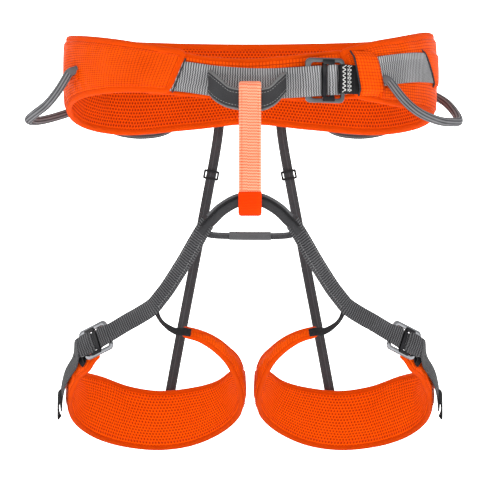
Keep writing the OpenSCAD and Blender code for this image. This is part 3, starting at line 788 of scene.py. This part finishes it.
def framePlate(name, outer, inner, depth, material, to, bevel=0.6, shift=0.0):
    # flat ring between two rounded outlines; to turns plate points into place
    a, b = roundedLoop(*outer), roundedLoop(*inner) + [shift, 0]
    n = len(a)
    points, faces = [], []
    for v in depth:
        points += [to(x, v, z) for x, z in a] + [to(x, v, z) for x, z in b]
    for i in range(n):
        k = (i + 1) % n
        faces += [(i, k, n + k, n + i), (2 * n + i, 3 * n + i, 3 * n + k, 2 * n + k),
                  (i, 2 * n + i, 2 * n + k, k), (n + i, n + k, 3 * n + k, 3 * n + i)]
    obj = addMesh(name, points, faces, None, [material])
    return tidyNormals(solid(obj, 0, bevel))


def tidyNormals(obj):
    shape = bmesh.new()
    shape.from_mesh(obj.data)
    bmesh.ops.recalc_face_normals(shape, faces=shape.faces)
    shape.to_mesh(obj.data)
    shape.free()
    return obj


def blocks(name, boxes, material, to, bevel=0.5):
    # rounded bars given by their corners, made one mesh
    points, faces = [], []
    for x0, x1, v0, v1, z0, z1 in boxes:
        base = len(points)
        points += [to(x, v, z) for x in (x0, x1) for v in (v0, v1) for z in (z0, z1)]
        faces += [tuple(base + i for i in f) for f in
                  ((0, 1, 3, 2), (4, 6, 7, 5), (0, 4, 5, 1), (2, 3, 7, 6), (0, 2, 6, 4), (1, 5, 7, 3))]
    return tidyNormals(solid(addMesh(name, points, faces, None, [material]), 0, bevel))


def waistTo(u, v, w):
    x, y = buckleSpot(u, v)
    return (x, y, w + strapSpec["buckleHeight"])


buckleFrame = framePlate("waistBuckleFrame", (17, 18.5, 4.5), (12.8, 14.8, 2.4), (3.6, 6.4), look["alloy"], waistTo,
                         0.9, 1.0)
place(buckleFrame, "belt", "waist_buckle_alloy", "waist_buckle_frame")
place(blocks("waistBuckleSlider", [(-2, 1.2, 3.6, 6.3, -14.4, 14.4), (4.5, 8, 3.6, 6.3, -14.4, 14.4),
                                   (-2, 8, 6.6, 7.6, 13.2, 17.4), (-2, 8, 6.6, 7.6, -17.4, -13.2),
                                   (-2, 8, 3.7, 6.8, 13.2, 14.5), (-2, 8, 3.7, 6.8, -14.5, -13.2)],
             look["blackAlloy"], waistTo, 0.4), "waist_slider", "waist_buckle_alloy", "waist_buckle_slider")


# the two strip sizes are for the dark strips of painted shade at the strap mouths
keeperSpec = {"columns": 9, "thick": 1.1, "puff": 0.5, "shadeStripWide": 1.3, "shadeStripThick": 1.6}


def keeperBand(name, nearSide, farSide, half, mid, node):
    # cloth band sewn above and below the strap's tail; each side gives its lower and upper angle
    shape = through([(0, 3.0, -half - 3), (0, 5.2, -half), (0, 7.0, -half + 3), (0, 7.4, 0), (0, 7.0, half - 3),
                     (0, 5.2, half), (0, 3.0, half + 3)], 1.4)
    rise = (shape[:, 2] + half + 3) / (2 * half + 6)
    layers = []
    for inward, ks in ((0, np.linspace(0, 1, keeperSpec["columns"])),
                       (keeperSpec["thick"], np.linspace(1, 0, keeperSpec["columns"]))):
        for k in ks:
            s0 = nearSide[0] + (nearSide[1] - nearSide[0]) * rise
            s1 = farSide[0] + (farSide[1] - farSide[0]) * rise
            puffed = keeperSpec["puff"] * np.sin(np.pi * k)
            layers.append(belt.point(s0 + (s1 - s0) * k, shape[:, 2] + mid, shape[:, 1] - inward + puffed))
    # a dark strip along the slit where the tail goes in is painted shade in that gap
    slit = nearSide[0] + (nearSide[1] - nearSide[0]) * rise - 0.3
    slitShadeStrip = sweep(f"{name}Lining", belt.point(slit, shape[:, 2] + mid, shape[:, 1] - 0.7), belt.out(slit),
                   keeperSpec["shadeStripWide"], keeperSpec["shadeStripThick"], look["tieIn"])
    extra(slitShadeStrip)
    rings = np.stack(layers, axis=1)
    ring = rings[len(rings) // 2]
    across = list(lengths(np.vstack([ring, ring[:1]])))
    band = gridMesh(name, rings, lengths(rings[:, 0]), across, [look["keeper"]])
    return place(band, "belt", "orange_ripstop", node)


keeperBand("frontTailKeeper", (34.5, 31.5), (43.5, 39.5), 15.5, 1.5, "tail_keeper_front")
keeperBand("rearTailKeeper", (76, 63.5), (80.5, 78.5), 14.5, 9.5, "tail_keeper_rear")
# a dark strip along the sleeve's mouth, where the strap comes out, is painted shade in that gap
mouth = np.linspace(336.3, 340.6, 24)
extra(sweep("sleeveMouthLining", belt.point(mouth, np.linspace(-15, 13, 24), 1.75), belt.out(mouth),
            keeperSpec["shadeStripWide"], 0.8, look["tieIn"]))
print("stage: waist strap ready")

# tie-in loops
hangPlan = [(-33, -110.6), (-31.5, -120), (-24, -129), (-12, -134.6), (0, -136), (12, -134.6), (22, -129),
            (27, -120), (28.5, -111)]
hangHigh = [(-33, 2.5), (-24, -6), (-17, -12), (-10, -14), (10, -14), (16, -12), (22, -6), (28.5, 1)]
hangLow = [(-33, -17), (-30, -21), (-24, -26), (-12, -30.6), (0, -31.4), (12, -31), (20, -26.5), (28.5, -16)]
flatPath = through([(x, y, 0) for x, y in hangPlan], 1.0)
hangMid = (ease(hangHigh, flatPath[:, 0]) + ease(hangLow, flatPath[:, 0])) / 2
hangTall = ease(hangHigh, flatPath[:, 0]) - ease(hangLow, flatPath[:, 0])
hangOut = planOut(flatPath)
tieInSpec = {"thick": 3.0, "piping": (1.1, 1.9), "seamInset": 3.4, "seamOut": 1.55}
upperLoop = sweep("upperTieInLoop", np.column_stack([flatPath[:, :2], 0 * hangMid]), hangOut, hangTall,
                  tieInSpec["thick"], look["tieIn"], flat=8)
for vertex in upperLoop.data.vertices:
    near = int(np.argmin(((flatPath[:, :2] - np.array(vertex.co[:2]) / mm) ** 2).sum(axis=1)))
    vertex.co.z += hangMid[near] * mm
place(upperLoop, "belt", "tie_in_fabric", "upper_tie_in_loop")
edgeA = np.column_stack([flatPath[:, :2], ease(hangHigh, flatPath[:, 0]) - 0.6])
edgeB = np.column_stack([flatPath[:, :2], ease(hangLow, flatPath[:, 0]) + 0.6])
piping = cord("upperLoopPiping", edgeA, (0, 0, 1), *tieInSpec["piping"], look["piping"], m=10)
place(piping, "belt", "edging", "upper_tie_in_edging")
extra(cord("upperLoopLowerPiping", edgeB, (0, 0, 1), *tieInSpec["piping"], look["piping"], m=10))
seams = [np.column_stack([flatPath[:, :2] + hangOut[:, :2] * tieInSpec["seamOut"],
                          ease(table, flatPath[:, 0]) + tieInSpec["seamInset"] * way])
         for table, way in ((hangHigh, -1), (hangLow, 1))]
stitches("upperLoopStitches", seams, "belt", "greyThread", 2.6, 1.9, 0.42)


def belayPath():
    # closed path in the Y-Z plane around the belay loop, at mid thickness
    ya, za, yb, zb, ra, rb = -136, -14, -133.5, -107.5, 6 - 1.75, 9.5 - 1.75
    way = math.atan2(zb - za, yb - ya)
    lean = math.acos((ra - rb) / math.hypot(yb - ya, zb - za))
    out = []
    for c, r, start, end in (((ya, za), ra, way + lean, way + 2 * math.pi - lean),
                             ((yb, zb), rb, way - lean, way + lean)):
        for k in range(25):
            a = start + (end - start) * k / 24
            out.append((0, c[0] + r * math.cos(a), c[1] + r * math.sin(a)))
    out = np.array(out + out[:1])
    return even(out, 1.0)[:-1]


loopPath = belayPath()
belaySpec = {"width": 18, "thick": 3.4, "sleeveWidth": 19, "sleeveThick": 4.4, "middle": -134.8, "sleeveTop": -97}
loopOut = np.array([unit(np.array([0, p[1] - belaySpec["middle"], p[2] - min(max(p[2], -107.5), -14)]))
                    for p in loopPath])
belay = sweep("belayLoop", loopPath, loopOut, belaySpec["width"], belaySpec["thick"], look["salmon"], closed=True,
              flat=8)
place(belay, "belay", "belay_webbing", "belay_loop")
low = loopPath[:, 2] < belaySpec["sleeveTop"]
start = int(np.argmax(low & ~np.roll(low, 1)))
cut = (start + np.arange(int(low.sum()))) % len(loopPath)
sleeve = sweep("belayLoopSleeve", loopPath[cut], loopOut[cut], belaySpec["sleeveWidth"], belaySpec["sleeveThick"],
               look["sleeve"], flat=8)
place(sleeve, "belay", "belay_sleeve", "belay_loop_sleeve")
front = loopPath[(loopPath[:, 1] < belaySpec["middle"]) & (loopPath[:, 2] < -16) & (loopPath[:, 2] > -96)]
front = front[np.argsort(front[:, 2])]
stitches("belayStitches", [front + [x, -1.85, 0] for x in (-6.6, 6.6)], "belay", "orangeThread",
         2.4, 1.7, 0.4)

archPoints = [(-40, -126.5, -129), (-36.4, -128, -124.6), (-30.2, -129.8, -118.5), (-22.9, -131.6, -111.6),
              (-11, -133.2, -104.8), (0, -133.5, -103.4), (11, -133.2, -104.8), (22.9, -131.6, -111.6),
              (30.2, -129.8, -118.5), (36.4, -128, -124.6), (40, -126.5, -129)]
archSpec = {"radius": 3.9, "coverWidth": 7.0, "coverThick": 2.6, "coverReach": 31.5, "groove": 0.8,
            "strapWidth": 5.4, "strapThick": 1.2, "sleeveWidth": 6.8, "sleeveThick": 2.8}
archPath = through(archPoints, 1.0)
archUp = unit(np.cross(heading(archPath), np.array([0, 1.0, 0])))
archUp *= np.sign(archUp[:, 2:3])
lowerLoop = cord("lowerTieInLoop", archPath - archUp * 1.7, (0, 1, 0), archSpec["radius"], archSpec["radius"],
                 look["tieIn"], m=20)
place(lowerLoop, "belt", "tie_in_fabric", "lower_tie_in_loop")
covered = np.abs(archPath[:, 0]) < archSpec["coverReach"]  # it stops short of the leg straps, which swing
extra(sweep("lowerLoopCover", (archPath + archUp * 3.9)[covered], archUp[covered], archSpec["coverWidth"],
            archSpec["coverThick"], look["smooth"]))
frontSide = unit(np.cross(archUp, heading(archPath)))
frontSide *= -np.sign(frontSide[:, 1:2])
groovePath = (archPath + archUp * 2.35 + frontSide * 2.9)[4:-4]
extra(cord("lowerLoopGroove", groovePath, (0, 0, 1), archSpec["groove"], archSpec["groove"], look["plastic"], m=8))
stabiliserPath = through([(-37.5, -126.6, -128.5), (-33, -127, -132.4), (-16, -127.1, -133.6), (16, -127.1, -133.8),
                          (33, -127, -132.6), (37.5, -126.6, -128.5)], 1)
stabiliser = sweep("stabiliserStrap", stabiliserPath, (0, -1, 0), archSpec["strapWidth"], archSpec["strapThick"],
                   look["elastic"])
place(stabiliser, "belt", "dark_webbing", "stabiliser_strap")
sleevePath = through([(-17, -127.1, -133.4), (0, -127.1, -133.6), (17, -127.1, -133.6)], 1)
place(sweep("stabiliserSleeve", sleevePath, (0, -1, 0), archSpec["sleeveWidth"], archSpec["sleeveThick"],
            look["smooth"]), "belt", "tie_in_fabric", "stabiliser_sleeve")
print("stage: tie-in loops ready")


# gear loops: a covered tube with threads along it and faint ribs across
def gearNodes():
    tree, new, link = startTree("coveredTube", {"Radius": 0.004, "Rib Pitch": 0.0017, "Rib Height": 0.00006})

    def sums(kind, *values):
        node = new("ShaderNodeMath")
        node.operation = kind
        for slot, value in zip(node.inputs, values):
            if hasattr(value, "is_output"):
                link(value, slot)
            else:
                slot.default_value = value
        return node.outputs[0]

    given, result = new("NodeGroupInput"), new("NodeGroupOutput")
    toCurve, spread = new("GeometryNodeMeshToCurve"), new("GeometryNodeResampleCurve")
    spread.mode = "LENGTH"
    spread.inputs["Length"].default_value = 0.0005
    link(given.outputs["Line"], toCurve.inputs["Mesh"])
    link(toCurve.outputs["Curve"], spread.inputs["Curve"])
    where = new("GeometryNodeSplineParameter")
    ribs = sums("SINE", sums("MULTIPLY", sums("DIVIDE", where.outputs["Length"], given.outputs["Rib Pitch"]), 6.2832))
    radius = sums("ADD", given.outputs["Radius"], sums("MULTIPLY", ribs, given.outputs["Rib Height"]))
    keep = new("GeometryNodeStoreNamedAttribute")
    keep.data_type = "FLOAT"
    keep.inputs["Name"].default_value = "along"
    link(spread.outputs["Curve"], keep.inputs["Geometry"])
    link(where.outputs["Length"], keep.inputs["Value"])
    ring = new("GeometryNodeCurvePrimitiveCircle")
    ring.inputs["Resolution"].default_value = 14
    ring.inputs["Radius"].default_value = 1.0
    turned = sums("MULTIPLY", new("GeometryNodeSplineParameter").outputs["Factor"], 6.2832)
    profile = ring.outputs["Curve"]
    for name, kind in (("sideways", "SINE"), ("upward", "COSINE")):
        mark = new("GeometryNodeStoreNamedAttribute")
        mark.data_type = "FLOAT"
        mark.inputs["Name"].default_value = name
        link(profile, mark.inputs["Geometry"])
        link(sums(kind, turned), mark.inputs["Value"])
        profile = mark.outputs["Geometry"]
    skin = new("GeometryNodeCurveToMesh")
    skin.inputs["Fill Caps"].default_value = True
    link(keep.outputs["Geometry"], skin.inputs["Curve"])
    link(profile, skin.inputs["Profile Curve"])
    link(radius, skin.inputs["Scale"])
    endTree(new, link, skin.outputs["Mesh"], given, result)
    return tree


def gearCover(name, light, dark):
    s = Shader(name, light, rough=0.75)
    along, sideways, upward = [s.node("ShaderNodeAttribute", {"attribute_name": name}, {}, "Fac")
                               for name in ("along", "sideways", "upward")]
    ribs = (along * 1000).wave(1.7)
    lines = sideways.math("ARCTAN2", upward).wave(2 * math.pi / 9)  # nine threads run the length of the tube
    worn = s.noise(50).ramp(0.3, 0.8)
    s.paint(s.blend(lines * 0.7 + ribs * 0.12 + worn * 0.18, dark, light))
    return s.bump(lines + ribs * 0.3 + s.noise(500) * 0.5, 0.0003, 0.7)


gearTree = gearNodes()
gearSpec = {"radius": 3.8, "rearDrop": 1.2, "tab": (3.75, 3.6), "patchHeight": 3.6, "patchThick": 1.2}
gearLook = gearCover("gearLoopTube", (0.21, 0.21, 0.22), (0.022, 0.022, 0.024))
rearGearLook = gearCover("rearGearLoopTube", (0.12, 0.12, 0.125), (0.02, 0.02, 0.022))
rightFront = [(116, -87, -4.5), (128, -88, -20), (141, -80, -30), (159, -56, -35.5), (173.5, -30, -35.5),
              (181, -5, -33), (180, 16, -25), (172.5, 34, -14), (157.5, 47.5, -4)]
leftFront = [(-153.5, -49, 5.5), (-163, -44, -9), (-174, -29, -20), (-187, -8, -27.5), (-193.5, 12, -31),
             (-189, 33, -31), (-176.5, 52, -27), (-158.5, 64, -20), (-147.5, 65.5, -13)]
rightRear = [(134, 79.5, -9), (137, 89, -24), (126, 101, -33.5), (110, 111.5, -37.5), (93, 118, -37.5),
             (78, 121, -34), (66.5, 120.5, -25), (60.5, 112.8, -9)]
for side, kind, points, cover in (("right", "front", rightFront, gearLook), ("left", "front", leftFront, gearLook),
                                  ("right", "rear", rightRear, rearGearLook),
                                  ("left", "rear", [(-x, y, z) for x, y, z in rightRear], rearGearLook)):
    line = (through(points, 1.0) - [0, 0, gearSpec["rearDrop"] if kind == "rear" else 0]) * mm
    mesh = bpy.data.meshes.new(f"{side}{kind.title()}GearLoop")
    mesh.from_pydata([tuple(p) for p in line], [(i, i + 1) for i in range(len(line) - 1)], [])
    tube = bpy.data.objects.new(mesh.name, mesh)
    scene.collection.objects.link(tube)
    useNodes(tube, gearTree, {"Radius": gearSpec["radius"] * mm, "Material": cover})
    tube.data.polygons.foreach_set("use_smooth", [True] * len(tube.data.polygons))
    place(tidyNormals(tube), f"{side}_{kind}_gear", "gear_loop_cover", f"{side}_{kind}_gear_loop",
          f"{side}_{kind}_gear_core")

patches = [(293, 3.5), (243, -13), (45.2, -14), (113, -4), (231, -12), (207.5, -12), (129, -12), (152.5, -12)]
for i, (s, z) in enumerate(patches):
    line = through([[s - 3.2, z], [s, z], [s + 3.2, z]], 0.4)
    p = belt.point(line[:, 0], line[:, 1], 4.9)
    obj = sweep(f"gearLoopPatch{i}", p, belt.out(line[:, 0]), 9 if i < 4 else 13, gearSpec["patchThick"],
                look["keeper"])
    place(obj, "belt", "dark_webbing", *(("gear_loop_patches",) if i == 0 else ()))
loopEnds = [(line[k], line[m], cover) for line, cover in ((leftFront, gearLook), (rightFront, gearLook),
                                                          ([(-x, y, z) for x, y, z in rightRear], rearGearLook),
                                                          (rightRear, rearGearLook)) for k, m in ((0, 1), (-1, -2))]
for i, (end, inside, cover) in enumerate(loopEnds):
    # each end runs on for a little and dives into the belt
    end, inside = np.array(end), np.array(inside)
    outward = belt.out(np.array([beltAngle(end)]))[0]
    ahead = unit(end - inside)
    line = through([end - ahead * 0.8, end + ahead * 1.2 - outward * 1.2, end + ahead * 3.4 - outward * 6], 0.6)
    tab = cord(f"gearLoopTab{i}", line, np.cross(outward, [0, 0, 1]), *gearSpec["tab"], cover, m=14)
    extra(tab)
patchRows = []
for across in (-2.2, 2.2):
    for angle, z in patches:
        low, high = [belt.point(angle + across, z + side * gearSpec["patchHeight"], 5.6) for side in (-1, 1)]
        patchRows.append(zigzag(low, high, belt.point(angle + 1.0, z, 5.6) - belt.point(angle, z, 5.6), 0.4, 14))
stitches("gearPatchStitches", patchRows, "belt", "orangeThread", 1.2, 1.4, 0.4)
print("stage: gear loops ready")

# leg loops, worked out for one side and mirrored
legSpec = {"columns": 92, "rows": 10, "binding": 5.4, "bindingThick": 4.6,
           "cloth": {"pressure": 4.0, "slack": 0.035, "stiff": 12, "bend": 0.25, "cap": 1.8, "frames": 20}}
legTop = [(34, -233), (45, -232), (60, -238), (75, -244), (90, -250), (110, -253), (135, -259), (160, -270),
          (180, -274), (200, -271.5), (225, -263.5), (245, -252), (262, -248.5), (275, -245), (291, -235),
          (301, -229), (315, -219.5), (330, -212.5), (341, -209.5)]
legLow = [(34, -238), (40, -241), (47, -246), (58, -253), (67, -263), (75, -270.5), (90, -283), (110, -298),
          (135, -313), (160, -322), (180, -324.5), (200, -321), (225, -309), (245, -296), (262, -284),
          (275, -272.5), (291, -254), (301, -242), (315, -229.5), (330, -219.3), (341, -216)]
legTop = [(a, z - 1.6) for a, z in legTop]
legCentreXY, legHalf = (82.5, 10), (75.5, 80)
leg = Panel(legCentreXY, legHalf, legTop, legLow, (47, 37), (339, 340))
legStrapSpec = {"width": 15, "swell": 3.6, "thick": 1.3, "doubled": 2.3, "anchor": (13, 0.8), "keeper": (18, 1.6),
                "branch": (11, 6.5)}
riserSpec = {"width": 9.2, "thick": 1.5, "high": (28, 116, -30), "low": (72, 98, -272), "tab": (14, 1.2)}
legTurn, legTip, legAngle = math.radians(35), math.radians(22.7), math.radians(34)
legCentre = np.array([legCentreXY[0] + 80 * math.sin(legAngle), legCentreXY[1] - 84.5 * math.cos(legAngle), -221])
legOutWay = np.array([math.sin(legTurn), -math.cos(legTurn), 0])
legRun = np.array([math.cos(legTurn) * math.cos(legTip), math.sin(legTurn) * math.cos(legTip), -math.sin(legTip)])
legSide = np.cross(legRun, legOutWay)
legSide = legSide * np.sign(legSide[2])


def legSpot(u, v, w=0.0):
    return list(legCentre + u * legRun + v * legOutWay + w * legSide)


legThreading = [(-18, 6.0), (-14.5, 6.5), (-8, 6.4), (-4.6, 5.6), (-3.7, 4.2), (-3.1, 2.6), (-2.2, 1.4), (-0.4, 1),
                (1.4, 1.3), (2.4, 2.6), (2.9, 4.6), (3.5, 6), (4.6, 6.8), (8, 7.1), (12, 7.6), (17, 7.6), (21, 6)]
legWay = [(34.5, -128.5, -122.5), (38.2, -126, -128), (41.5, -123.6, -133.5), (46.5, -121, -142), (54, -117, -154.8),
          (66.7, -108.5, -174.6), (74.3, -103, -184.6), (81, -98.5, -192.2), (92, -91, -199.4), (102, -84, -205)]
tailWay = [(149.7, -36.4, -240), (158.6, -17, -254), (163.2, -2, -268), (165, 6, -282)]


def buildLeg(side, flip):
    body = f"{side}_leg"

    def put(obj, slot, *nodes):
        return place(obj, body, slot, *[f"{side}_leg_{n}" for n in nodes])

    sign = -1 if flip else 1

    def sided(p):
        return [p[0] * sign * mm, p[1] * mm, p[2] * mm]

    pad, sewn = leg.pad(f"{side}LegPad", -4.8, 3.0, legSpec["columns"], legSpec["rows"],
                        [look["legRipstopPaintedLight"], look["legMeshPaintedLight"]], flip)
    puff(pad, sewn, legSpec["cloth"])
    solid(pad, 1)
    put(pad, "orange_ripstop", "shell", "foam", "load_webbing", "mesh_liner")
    path, out = leg.rim(step=2.5)
    put(sweep(f"{side}LegBinding", path, out, legSpec["binding"], legSpec["bindingThick"], look["binding"],
              closed=True, flip=flip), "edge_binding", "binding")
    stitches(f"{side}LegEdgeStitches", innerRows(leg, (0.09, 0.91, 0.09, 0.91), (4, 4, -7, -7), uRange=(0.005, 0.9)),
             body, onto=pad, spacing=3.2, flip=flip)

    points = legWay + [tuple(legSpot(*q)) for q in legThreading] + tailWay
    path = through(points, 0.9)
    steps = np.clip((lengths(path) - 6) / 85, 0, 1)[:, None]
    late = np.clip((path[:, 0:1] - 141) / 11, 0, 1)
    faceWay = ((1 - steps) * np.array([0.3, -0.85, 0.4]) + steps * (1 - late) * legOutWay
               + late * np.array([1, -0.15, 0]))
    thick = np.where(path[:, 0] < 79, legStrapSpec["doubled"], legStrapSpec["thick"])
    over = np.clip(((path - legCentre) @ legOutWay - 5.2) / 1.4, 0, 1)
    fromBuckle = ((path - np.array(legSpot(3, 6))) ** 2).sum(axis=1)
    wide = legStrapSpec["width"] + legStrapSpec["swell"] * over * np.exp(-fromBuckle / 240)
    below = int(np.argmin(np.linalg.norm(path - np.array(legSpot(-0.4, 1)), axis=1)))
    for part, run, far, near in (("In", slice(None, below + 1), -18, -4.6), ("Tail", slice(below, None), 18, 8.5)):
        strap = sweep(f"{side}LegStrap{part}", path[run], faceWay[run], wide[run], thick[run], look["dark"], flip=flip)
        if part == "In":
            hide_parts(f"{side}_leg_strap")
        sided(legSpot(far, 4))
        sided(legSpot(near, 4))
        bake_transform(strap)
    upper = path[(path[:, 0] > 42) & (path[:, 0] < 77)]
    ahead = heading(upper)
    across = unit(np.cross(ahead, np.array([0.3, -0.85, 0.4])))
    lift = np.cross(across, ahead) * 1.3
    stitches(f"{side}LegStrapStitches", [upper + across * w + lift for w in (-5.2, 5.2)], body,
             "greyThread", 2.8, 1.9, 0.4, flip=flip)

    branch = [(78, -99.5, -188), (77.5, -96.5, -196), (73.5, -91.5, -204), (66, -85, -210.5), (59.5, -78, -213),
              (55.5, -72, -213.4), (50, -67.5, -214.6)]
    faces = [(0.5, -0.8, 0), (0.85, -0.4, -0.3), (0.75, -0.4, -0.5), (0.2, -0.5, -0.85), (-0.1, -0.9, -0.3),
             (-0.35, -0.9, 0), (-0.4, -0.9, 0)]
    both = through([(*p, *f) for p, f in zip(branch, faces)], 1.0)
    put(sweep(f"{side}LegBranch", both[:, :3], both[:, 3:],
              np.linspace(*legStrapSpec["branch"], len(both)), 1.3, look["black"],
              flip=flip), "dark_webbing", "branch_strap")

    def to(u, v, w):
        x, y, z = legSpot(u, v, w)
        return (sign * x, y, z)

    put(framePlate(f"{side}LegBuckleFrame", (16, 13, 4.6), (12.2, 8.9, 1.8), (3, 5.4), look["steel"], to, 1.0),
        "leg_buckle_steel", "buckle_frame")
    slider = blocks(f"{side}LegBuckleSlider", [(-2, 1.2, 3, 5.3, -9.3, 9.3), (4.5, 8, 3, 5.3, -9.3, 9.3),
                                               (-2, 8, 5.6, 6.4, 8.2, 11.2), (-2, 8, 5.6, 6.4, -11.2, -8.2),
                                               (-2, 8, 3.2, 5.9, 8.2, 9.2), (-2, 8, 3.2, 5.9, -9.2, -8.2)],
                    look["blackAlloy"], to, 0.35)
    place(slider, f"{side}_leg_slider", "leg_buckle_steel", f"{side}_leg_buckle_slider")

    turns = [(19.5, 3, 3), (17.4, 5, 1.2), (16.3, 5.85, 0.5), (14, 6, 0), (12.2, 5.95, 0), (11.6, 5.35, 0),
             (11.6, 3, 0), (12.2, 2.35, 0), (14, 2.3, 0), (16, 2, 0.4), (17.5, 0.8, 1.2)]
    around = [tuple(np.array(legSpot(u, v)) - [0, 0, d]) for u, v, d in turns]
    outer = [tuple(leg.point(a, z, 6.2)) for a, z in ((51, -240), (48.5, -236))]
    inner = [tuple(leg.point(a, z, 5.4)) for a, z in ((48.5, -236), (51, -240))]
    path = through(outer + around + inner, 0.7)
    turning = unit(np.cross(legSide, heading(path)))  # the webbing keeps the frame's own slant
    put(sweep(f"{side}LegAnchor", path, -turning, *legStrapSpec["anchor"], look["black"], flip=flip), "dark_webbing",
        "anchor_webbing")
    tacks = [zigzag(legSpot(u, v, -7.8), legSpot(u, v, -4.8), legRun, 0.6, 6) for u, v in ((17, 5.9), (19, 4.6))]
    stitches(f"{side}LegAnchorTacks", tacks, body, "whiteThread", 1.1, 1.5, 0.45, flip=flip)

    tip = through([(163.6, -3, -271), (166.3, -1, -274), (167.2, 4.5, -281.5), (167.4, 9, -288),
                   (165.6, 9.8, -289.5)], 1)
    put(sweep(f"{side}LegTailKeeper", tip, (0.98, -0.15, 0.1), *legStrapSpec["keeper"], look["black"],
              flip=flip), "dark_webbing",
        "tail_keeper")

    # elastic riser, stretched between belt and leg loop
    way = [(28, 115.8, -4), (28, 116.2, -24), (31, 115.4, -50), (39.5, 111.5, -97), (51, 107, -158), (62, 102.5, -216),
           (70.5, 98.6, -262), (73, 97.8, -276), (75.5, 97.6, -290)]
    riser = sweep(f"{side}Riser", through(way, 1.0), (0, 1, 0), riserSpec["width"], riserSpec["thick"],
                  look["elastic"], flip=flip)
    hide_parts(f"{side}_riser")
    high, low = sided(riserSpec["high"]), sided(riserSpec["low"])
    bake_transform(riser)
    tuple(high)
    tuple(low)

    def clip(u, v, w):
        # the adjuster sits square on the riser where it crosses it
        x, y, z = 35.7 + u - w * 0.18, 113.3 + v - w * 0.08, -76 + w + u * 0.18
        return (sign * x, y, z)

    adjuster = framePlate(f"{side}RiserAdjuster", (7, 4.3, 1.4), (5.3, 2.4, 0.6), (-2.3, 2.3), look["plastic"], clip,
                          0.35)
    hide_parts(f"{side}_riser_adjuster")
    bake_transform(adjuster)
    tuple(high)
    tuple(low)
    topTab = sweep(f"{side}RiserTab", through([(28, 117.9, -17), (28, 117.9, -3)], 1), (0, 1, 0), *riserSpec["tab"],
                   look["dark"], flip=flip)
    place(topTab, "belt", "dark_webbing", *(("riser_top_tabs",) if flip else ()))


buildLeg("right", False)
buildLeg("left", True)
print("stage: leg loops ready")

# floor and light
stageSpec = {"wide": 6.0, "back": 4.0, "rise": 5.0, "front": -5.0, "drop": 0.085}
floorLevel = cadBox[0][2] - stageSpec["drop"]  # the leg loops can swing back without reaching it
bend = [math.radians(a) for a in range(0, 91, 9)]
outline = [(stageSpec["front"], 0)] + [(stageSpec["back"] - 1 + math.sin(a), 1 - math.cos(a)) for a in bend]
outline.append((stageSpec["back"], stageSpec["rise"]))
rows = [[(x, y, z + floorLevel) for y, z in outline] for x in (-stageSpec["wide"], stageSpec["wide"])]
count = len(outline)
floorMesh = bpy.data.meshes.new("floor")
floorMesh.from_pydata(rows[0] + rows[1], [], [(i, count + i, count + i + 1, i + 1) for i in range(count - 1)])
floorMesh.polygons.foreach_set("use_smooth", [True] * (count - 1))
paper = Shader("floorPaper", (0.8, 0.8, 0.8), rough=0.9, specular=0.0)
split = paper.tree.nodes.new("ShaderNodeSeparateXYZ")
paper.feed(split.inputs[0], paper.node("ShaderNodeTexCoord", {}, {}, "Object"))
away = ((Wire(paper, split.outputs[0]) * 0.62) ** 2 + Wire(paper, split.outputs[1]) ** 2) ** 0.5
glow = away.ramp(0.12, 0.3)  # the paper shines by itself away from the harness
paper.feed(paper.skin.inputs["Emission Color"], paper.blend(glow, (0.0, 0.0, 0.0), (1, 1, 1)))
paper.skin.inputs["Emission Strength"].default_value = 1.3
floorMesh.materials.append(paper.material)
floor = bpy.data.objects.new("floor", floorMesh)
scene.collection.objects.link(floor)
world = bpy.data.worlds.new("studio")
world.use_nodes = True
world.node_tree.nodes["Background"].inputs["Color"].default_value = (1, 1, 1, 1)
world.node_tree.nodes["Background"].inputs["Strength"].default_value = 1.0
scene.world = world
for name, spot, size, power in (("keyLight", (-1.2, -2.1, 0.9), 1.2, 4.0), ("lowLight", (0.3, -2.4, -0.1), 0.4, 6.0),
                                ("backLight", (0.0, 1.4, 0.95), 1.2, 3.0)):
    data = bpy.data.lights.new(name, "AREA")
    data.size = size
    data.energy = power
    light = bpy.data.objects.new(name, data)
    light.location = spot
    light.rotation_euler = (Vector((0, 0, -0.12)) - Vector(spot)).to_track_quat("-Z", "Y").to_euler()
    scene.collection.objects.link(light)
print("stage: light ready")
